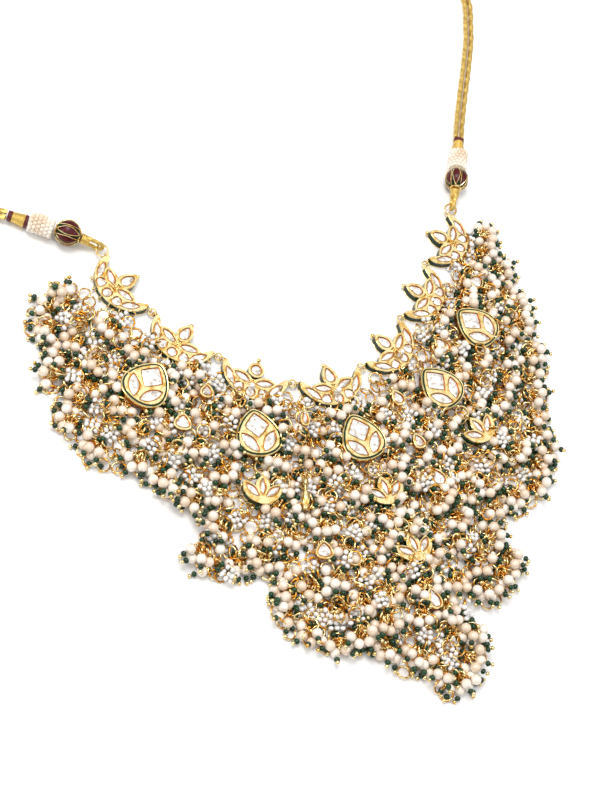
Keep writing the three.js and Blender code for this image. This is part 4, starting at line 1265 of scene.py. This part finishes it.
def twisted(path, radius, depth=0.14, pitch=6.0, sides=12, closed=False):
    """Cord of three twisted strands along a path, with flat ends."""
    lobes = 3
    path = np.asarray(path, float)
    count = len(path)
    if closed:
        tangents = np.roll(path, -1, axis=0) - np.roll(path, 1, axis=0)
    else:
        tangents = np.gradient(path, axis=0)
    tangents /= np.linalg.norm(tangents, axis=1, keepdims=True)
    across = np.cross([0, 0, 1], tangents)
    across /= np.maximum(np.linalg.norm(across, axis=1, keepdims=True), 1e-6)
    over = np.cross(tangents, across)
    legs = np.linalg.norm(np.diff(path, axis=0), axis=1)
    along = np.concatenate([[0], np.cumsum(legs)])
    turns = around(sides)
    whole = along[-1] + (np.linalg.norm(path[0] - path[-1]) if closed else 0)
    rate = 2 * math.pi * max(1, round(whole / pitch)) / whole
    points = []
    for row in range(count):
        thick = radius * (1 - depth + depth * np.cos(lobes * (turns - along[row] * rate / lobes)))
        ring = path[row] + np.outer(np.cos(turns) * thick, across[row]) + np.outer(np.sin(turns) * thick, over[row])
        points.append(ring)
    faces = bands(count, sides, closed=closed)
    if not closed:
        faces.append(tuple(range(sides))[::-1])
        faces.append(tuple((count - 1) * sides + side for side in range(sides)))
    return np.concatenate(points), faces


def dori_lines(measure):
    """Middle lines of the inner and the outer strand of the cord."""
    ends = lay_ends(measure)
    left, right = ends["left"], ends["right"]
    high, low = DORI_HEIGHT, DORI_CLEARANCE + measure["strand_diameter"] / 2
    route = [(*left["cord"], high), (*step(left["cord"], left["run"], DORI_LEAD), (high + low) / 2)]
    for x, y in (laid_out(measure, place) for place in DORI_ROUTE):
        route.append((x, y, low + SLIDER_LIFT if abs(x) < LIFTED_REACH else low))
    route.append((*step(right["cord"], right["run"], DORI_LEAD), (high + low) / 2))
    route.append((*right["cord"], high))
    middle = smooth_line(route)
    tangents = np.gradient(middle, axis=0)
    across = np.column_stack([-tangents[:, 1], tangents[:, 0], np.zeros(len(middle))])
    across /= np.linalg.norm(across, axis=1, keepdims=True)
    reach = measure["strand_spacing"] / 2
    return [resampled(middle + side * reach * across, 0.8) for side in (-1, 1)]


def threaded(long, start_radius, end_radius, pitch=0.5):
    """Thread wound round a tapered core that lies along x. Its turns are wider than real ones, so that they show."""
    depth, sides = 0.12, 28
    turns = max(2, int(round(long / pitch)))
    profile = [(0.0, 0.05), (0.0, start_radius - depth * 2)]
    for index in range(turns):
        for share, sunk in ((0.15, depth), (0.5, 0.0), (0.85, depth)):
            along = (index + share) / turns
            profile.append((along * long, start_radius + (end_radius - start_radius) * along - sunk))
    profile += [(long, end_radius - depth * 2), (long, 0.05)]
    return lathe(profile, sides)


# Operators


class NECKLACE_OT_stage(bpy.types.Operator):
    """Sets the pale table, the soft lights and the camera."""

    bl_idname = "necklace.stage"
    bl_label = "Stage"

    def execute(self, context):
        context.scene.view_settings.view_transform = "Standard"
        self.camera(context.scene)
        self.table(context.scene)
        self.room(context.scene)
        self.lamps(context.scene)
        return DONE

    def camera(self, scene):
        """Camera that looks down at the necklace, turned about its line of sight as the photograph's was."""
        flat = math.cos(CAMERA_DIP)
        ahead = np.array([math.cos(CAMERA_HEADING) * flat, math.sin(CAMERA_HEADING) * flat, -math.sin(CAMERA_DIP)])
        level = np.array([math.sin(CAMERA_HEADING), -math.cos(CAMERA_HEADING), 0.0])
        upward = np.cross(level, ahead)
        right = math.cos(CAMERA_ROLL) * level + math.sin(CAMERA_ROLL) * upward
        above = -math.sin(CAMERA_ROLL) * level + math.cos(CAMERA_ROLL) * upward
        data = bpy.data.cameras.new("photo camera")
        data.sensor_fit = "VERTICAL"
        data.sensor_height = CAMERA_FILM
        data.lens = CAMERA_LENS
        data.clip_start = 0.01
        camera = bpy.data.objects.new("photo camera", data)
        matrix = Matrix.Identity(4)
        for row in range(3):
            matrix[row][0], matrix[row][1], matrix[row][2] = right[row], above[row], -ahead[row]
            matrix[row][3] = CAMERA_TARGET[row] - CAMERA_DISTANCE * ahead[row]
        camera.matrix_world = matrix
        scene.collection.objects.link(camera)
        scene.camera = camera

    def table(self, scene):
        """Plain table top at height zero."""
        floor = bpy.data.meshes.new("table")
        corners = [(x * TABLE_REACH, y * TABLE_REACH, 0) for x, y in ((-1, -1), (1, -1), (1, 1), (-1, 1))]
        floor.from_pydata(corners, [], [(0, 1, 2, 3)])
        floor.materials.append(finish_of("table"))
        table = bpy.data.objects.new("table", floor)
        scene.collection.objects.link(table)

    def room(self, scene):
        """Soft light from the room, brighter overhead than round the horizon."""
        world = bpy.data.worlds.new("studio")
        world.use_nodes = True
        sky = world.node_tree
        where = add(sky, "ShaderNodeTexCoord")
        parts = add(sky, "ShaderNodeSeparateXYZ", Vector=where.outputs["Generated"])
        limits = {"From Min": HORIZON_RISE[0], "From Max": HORIZON_RISE[1]}
        rise = add(sky, "ShaderNodeMapRange", limits, Value=parts.outputs["Z"])
        ends = {"Color1": srgb(HORIZON), "Color2": srgb(ZENITH)}
        shade = add(sky, "ShaderNodeMixRGB", ends, Fac=rise.outputs["Result"])
        sky.links.new(shade.outputs["Color"], sky.nodes["Background"].inputs["Color"])
        sky.nodes["Background"].inputs["Strength"].default_value = ROOM_LIGHT
        scene.world = world

    def lamps(self, scene):
        """Square softboxes that all point at the necklace."""
        for name, (place, size, power) in SOFTBOXES.items():
            light = bpy.data.lights.new(name, "AREA")
            light.shape = "SQUARE"
            light.size = size
            light.energy = power
            lamp = bpy.data.objects.new(name, light)
            lamp.location = place
            lamp.rotation_euler = (-Vector(place)).to_track_quat("-Z", "Y").to_euler()
            scene.collection.objects.link(lamp)


class NECKLACE_OT_dori(bpy.types.Operator):
    """Lays the two gold strands of the dori behind the neck, with their slider."""

    bl_idname = "necklace.dori"
    bl_label = "Dori cord"

    def execute(self, context):
        measure = sizes()
        radius = measure["strand_diameter"] / 2
        slider = self.slider(measure, radius)
        for name, line in zip(("inner", "outer"), dori_lines(measure)):
            skin = twisted(line, radius * 1.05)
            strand = made(f"dori_{name}", skin, "thread", [f"dori_strand_{name}"])
        return DONE

    def slider(self, measure, radius):
        """Flat maroon sleeve of wound thread that both strands run through."""
        wide, tall = measure["strand_spacing"] / 2 + radius + SLIDER_WALL, radius + SLIDER_WALL - 0.1
        marks = []
        for row in range(SLIDER_ROWS):
            marks.append((SLIDER_LENGTH * (row / (SLIDER_ROWS - 1) - 0.5), 1.0 + 0.06 * (row % 2)))
        turns = around(SLIDER_SIDES)
        side, upright = np.sign(np.cos(turns)) * np.abs(np.cos(turns)) ** 0.8 * wide, np.sin(turns) * tall
        rows = [
            np.column_stack([np.full(SLIDER_SIDES, along), side * swell, upright * swell])
            for along, swell in [(marks[0][0], 0.05), *marks, (marks[-1][0], 0.05)]
        ]
        skin = np.concatenate(rows), bands(len(rows), SLIDER_SIDES, rising=False)
        where = (*laid_out(measure, SLIDER_PLACE), DORI_CLEARANCE + radius + SLIDER_LIFT)
        return made("dori_slider_wrap", placed(skin, where), "maroon", ["dori_slider"])


def dress(parts_by_node, group):
    """Makes the gold of each plaque a piece of its own, and its other finishes one piece for the group."""
    rest = {"amber_shade": [], "leaf": [], "stone": []}
    for (name, node), (parts, place, turn) in parts_by_node.items():
        made(name, placed(joined(parts["gold"]), place, turn), nodes=[node])
        for key, found in rest.items():
            found += [placed(skin, place, turn) for skin in parts[key]]
    # The hollows are gold darkened to amber as painted shade
    made(f"{group}_hollows", joined(rest["amber_shade"]), "amber_shade")
    if rest["leaf"]:
        made(f"{group}_enamel", joined(rest["leaf"]), "leaf")
    made(f"{group}_stones", joined(rest["stone"]), "stone", smooth=0.0)


class NECKLACE_OT_crescents(bpy.types.Operator):
    """Makes the row of enamelled crescent plaques with their stones."""

    bl_idname = "necklace.crescents"
    bl_label = "Crescent plaques"

    def execute(self, context):
        measure = sizes()
        places, _ = lay_row(measure)
        found = {}
        for index, (place, turn) in enumerate(zip(places, CRESCENT_TURNS)):
            parts = crescent_parts(measure, index == ROUND_TOPPED)
            found[(f"crescent_gold_{index + 1}", f"crescent_{index + 1}")] = (parts, place, turn)
        dress(found, "crescent")
        return DONE


class NECKLACE_OT_pendants(bpy.types.Operator):
    """Makes the pears, lotuses and small drops that lie in the fringe."""

    bl_idname = "necklace.pendants"
    bl_label = "Pendants"

    def execute(self, context):
        measure = sizes()
        pears, lotuses = lay_pendants(measure)
        low = measure["pendant_floor"]
        found = {}
        for index, (place, _, turn) in enumerate(pears):
            parts = pear_parts(measure, index in LOTUS_PEARS)
            found[(f"pear_gold_{index + 1}", f"pear_{index + 1}")] = (parts, (*place, low), turn)
        for index, (place, _, turn) in enumerate(lotuses):
            found[(f"lotus_gold_{index + 1}", f"lotus_{index + 1}")] = (lotus_parts(measure), (*place, low), turn)
        dress(found, "pendant")
        found = {}
        for index, (place, turn, span, width) in enumerate(drop_places(measure)):
            found[(f"drop_gold_{index + 1}", f"drop_{index + 1}")] = (drop_parts(span, width), (*place, low), turn)
        dress(found, "drop")
        charms = [(drop_parts(span, width), (*place, low + CHARM_RISE), turn) for place, turn, span, width in CHARMS]
        # The charms' cups are gold darkened to amber as painted shade
        for name, key, smooth in (("gold", "gold", 35.0), ("cups", "amber_shade", 35.0), ("stones", "stone", 0.0)):
            skins = [placed(joined(parts[key]), place, turn) for parts, place, turn in charms]
            made(f"charm_{name}", joined(skins), key, smooth=smooth)
        made("swivel", placed(lathe(SWIVEL_PROFILE, 16), (*SWIVEL[0], SWIVEL_HEIGHT), SWIVEL[1]))
        return DONE


class NECKLACE_OT_links(bpy.types.Operator):
    """Makes the gold jump rings between the plaques and above the pendants."""

    bl_idname = "necklace.links"
    bl_label = "Jump rings"

    def execute(self, context):
        measure = sizes()
        _, links = lay_row(measure)
        pears, lotuses = lay_pendants(measure)
        low = measure["pendant_floor"]
        small = [placed(torus(LINK_RADIUS, LINK_WIRE), (*place, EYE_HEIGHT)) for place in links]
        made("jump_rings", joined(small), nodes=[f"link_{index + 1}" for index in range(len(links))])
        tilt = math.degrees(math.asin(low / (2 * HANGER_RADIUS)))
        large, nodes = [], []
        for kind, hung, lean, lift in (("pear", pears, tilt, low / 2), ("lotus", lotuses, 0.0, low)):
            for index, (place, start, turn) in enumerate(hung):
                middle = ((place[0] + start[0]) / 2, (place[1] + start[1]) / 2, EYE_HEIGHT + lift)
                large.append(placed(torus(HANGER_RADIUS, LINK_WIRE), middle, turn + 270, lean))
                nodes.append(f"{kind}_ring_{index + 1}")
        made("hanger_rings", joined(large), nodes=nodes)
        return DONE


class NECKLACE_OT_ends(bpy.types.Operator):
    """Makes both ends: gold ring, wrapped cord loop, enamelled bead, sleeve of seed beads and thread ferrule."""

    bl_idname = "necklace.ends"
    bl_label = "Ends"

    def execute(self, context):
        measure = sizes()
        for name, end in lay_ends(measure).items():
            ring = placed(
                torus(END_RING_RADIUS, END_RING_WIRE), (*end["centre"], end["ring_height"]), end["ring"],
                math.degrees(end["tilt"]),
            )
            made(f"end_ring_gold_{name}", ring, nodes=[f"end_ring_{name}"])
            self.loop(name, end)
            self.bead(measure, name, end)
            self.sleeve(measure, name, end)
            self.ferrule(measure, name, end)
        return DONE

    def loop(self, name, end):
        """Gold-thread cord that goes round the end ring and into the enamelled bead."""
        hook = LOOP_TURN + LOOP_CORD
        line = []
        for middle, angles in ((hook, (90, 270)), (LOOP_LENGTH - hook, (-90, 90))):
            for angle in np.radians(np.linspace(*angles, 15)):
                line.append((middle + LOOP_TURN * math.cos(angle), 0.0, LOOP_TURN * math.sin(angle)))
        line.append(line[0])
        path = resampled(line, 0.35)[:-1]
        skin = twisted(path, LOOP_CORD, depth=0.12, pitch=2.4, closed=True)
        knot = placed(threaded(3.4, 1.7, 2.1, 0.7), (LOOP_LENGTH - 2.9, 0, 0))
        skin = placed(joined([skin, knot]), (*end["loop"], end["loop_height"]), end["run"], math.degrees(LOOP_RISE))
        made(f"cord_loop_wrap_{name}", skin, "thread", [f"cord_loop_{name}"])

    def bead(self, measure, name, end):
        """Round bead: red and green enamel panels between gold petal lines."""
        radius = measure["enamel_bead"] / 2 - LINE_RISE
        sides, rings = 40, 20
        profile = []
        for index in range(rings + 1):
            angle = 0.28 + (math.pi - 0.56) * index / rings
            profile.append((radius - radius * math.cos(angle), radius * 0.985 * math.sin(angle)))
        body = lathe([(profile[0][0], 0.8), *profile, (profile[-1][0], 0.8)], sides)
        keys = []
        for face in body[1]:
            row, side = face[0] // sides, face[0] % sides
            lobe = (side * BEAD_PANELS / sides) % 1.0
            arch = abs(row - rings / 2) / (rings / 2)
            keys.append(1 if abs(lobe - 0.5) < PANEL_REACH * (1 - arch**2) else 0)
        lines = []
        for panel in range(BEAD_PANELS):
            for edge in (-1, 1):
                path = []
                for index in range(13):
                    angle = 0.45 + (math.pi - 0.9) * index / 12
                    arch = abs(index - 6) / 6
                    turn = (panel + 0.5 + edge * PANEL_REACH * (1 - arch**2)) * 2 * math.pi / BEAD_PANELS
                    out = radius * math.sin(angle)
                    path.append((radius - radius * math.cos(angle), out * math.cos(turn), out * math.sin(turn)))
                lines.append(twisted(path, LINE_RISE, depth=0.0, sides=6))
        far = 2 * radius
        for rim in (
            [(-0.15, 1.0), (0.05, 2.0), (0.5, 2.4), (0.7, 1.9)],
            [(far - 0.7, 1.9), (far - 0.5, 2.4), (far - 0.05, 2.0), (far + 0.1, 1.0)],
        ):
            lines.append(lathe(rim, 20))
        where, turn = (*step(end["bead"], end["run"], LINE_RISE), radius + LINE_RISE), end["run"]
        mesh = make_mesh(f"enamel_bead_skin_{name}", placed(body, where, turn), ["leaf", "ruby"], 35.0, keys)
        shown(f"enamel_bead_skin_{name}", mesh, [f"enamel_bead_{name}"])
        made(f"enamel_bead_lines_{name}", placed(joined(lines), where, turn))

    def sleeve(self, measure, name, end):
        """Sleeve of cream seed beads woven in rows round the cord."""
        radius, long = measure["sleeve_diameter"] / 2, measure["sleeve_length"]
        out = radius - SLEEVE_BEAD
        points, axes = [], []
        for row in range(SLEEVE_ROWS):
            for number in range(SLEEVE_AROUND):
                angle = (number + 0.5 * (row % 2)) * 2 * math.pi / SLEEVE_AROUND
                along = SLEEVE_BEAD + (long - 2 * SLEEVE_BEAD) * row / (SLEEVE_ROWS - 1)
                points.append((along, out * math.cos(angle), out * math.sin(angle)))
                axes.append((0, -math.sin(angle), math.cos(angle)))
        turn = end["run"]
        spots, _ = placed((np.array(points), []), (*end["sleeve"], SLEEVE_HEIGHT), turn)
        ways, _ = placed((np.array(axes), []), (0, 0, 0), turn)
        start = (*step(end["sleeve"], turn, 0.2), SLEEVE_HEIGHT)
        core = placed(threaded(long - 0.4, radius - 1.2, radius - 1.2), start, turn)
        made(f"sleeve_core_{name}", core, "pearl")
        scattered(
            f"pearl_sleeve_beads_{name}", "bead", spots, ways, "pearl", "pearl",
            {"Radius": SLEEVE_BEAD * MM, "Flatness": 0.88, "Segments": 12, "Rings": 8}, [f"pearl_sleeve_{name}"],
        )

    def ferrule(self, measure, name, end):
        """Ferrule of gold thread with maroon thread rings at both ends."""
        radius, long = measure["ferrule_diameter"] / 2, measure["ferrule_length"]
        where, turn = (*end["wrap"], radius + GAP), end["run"]
        gold = placed(threaded(long - 2.6, radius - 0.1, radius - 0.7), (1.1, 0, 0))
        made(f"ferrule_wrap_{name}", placed(gold, where, turn), "thread", [f"ferrule_{name}"])
        back = placed(threaded(1.6, radius - 0.5, radius - 0.6), (long - 1.6, 0, 0))
        rings = joined([threaded(1.2, radius - 0.2, radius), back])
        made(f"ferrule_rings_{name}", placed(rings, where, turn), "maroon")


class NECKLACE_OT_fringe(bpy.types.Operator):
    """Settles the loose tassels of pearls and seed beads among the plaques."""

    bl_idname = "necklace.fringe"
    bl_label = "Pearl fringe"

    def execute(self, context):
        measure = sizes()
        found = lay_fringe(measure)
        radius = {key: measure[f"{key}_diameter"] / 2 * MM for key in ("pearl", "green", "seed")}
        radius["tip"] = KINDS["tip"] * MM
        nodes = [f"fringe_{index + 1}" for index in range(BUNCH_COUNT)]
        for name, kind, key, slot, flat, segments, rings in BEAD_PIECES:
            values = {"Radius": radius[kind], "Flatness": flat, "Segments": segments, "Rings": rings}
            held = nodes if kind == "pearl" else ()
            scattered(name, "bead", *found[kind], key, slot, values, held, 0.07, len(kind))
        for name, kind in RING_PIECES:
            reach, wire = RINGS[kind]
            values = {"Radius": reach * MM, "Wire": wire * MM, "Segments": 10, "Sides": 5}
            # The rings' gold wire has amber patches of painted shade and painted reflection
            scattered(name, "ring", *found[kind], "wire", "gold", values, (), 0.12, len(kind))
        return DONE


PARTS = (
    NECKLACE_OT_stage,
    NECKLACE_OT_dori,
    NECKLACE_OT_crescents,
    NECKLACE_OT_pendants,
    NECKLACE_OT_links,
    NECKLACE_OT_ends,
    NECKLACE_OT_fringe,
)


class NECKLACE_PT_panel(bpy.types.Panel):
    """Sidebar panel with the necklace's sizes, colours and pieces."""

    bl_idname = "NECKLACE_PT_panel"
    bl_label = "Kundan necklace"
    bl_space_type = "VIEW_3D"
    bl_region_type = "UI"
    bl_category = "Necklace"

    def draw(self, context):
        for part in PARTS:
            self.layout.operator(part.bl_idname)
        for group in (context.scene.necklace_sizes, context.scene.necklace_colours):
            column = self.layout.column(align=True)
            for key in group.__annotations__:
                column.prop(group, key)


CLASSES = (NecklaceSizes, NecklaceColours, *PARTS, NECKLACE_PT_panel)


def register():
    """Adds the classes and the scene's properties."""
    for kind in CLASSES:
        bpy.utils.register_class(kind)
    bpy.types.Scene.necklace_sizes = bpy.props.PointerProperty(type=NecklaceSizes)
    bpy.types.Scene.necklace_colours = bpy.props.PointerProperty(type=NecklaceColours)


def unregister():
    """Takes them away again."""
    del bpy.types.Scene.necklace_colours
    del bpy.types.Scene.necklace_sizes
    for kind in reversed(CLASSES):
        bpy.utils.unregister_class(kind)


def main():
    """Registers the classes and makes every piece in order."""
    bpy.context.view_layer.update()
    register()
    bpy.ops.necklace.stage()
    bpy.ops.necklace.dori()
    bpy.ops.necklace.crescents()
    bpy.ops.necklace.pendants()
    bpy.ops.necklace.links()
    bpy.ops.necklace.ends()
    bpy.ops.necklace.fringe()


if __name__ == "__main__":
    main()
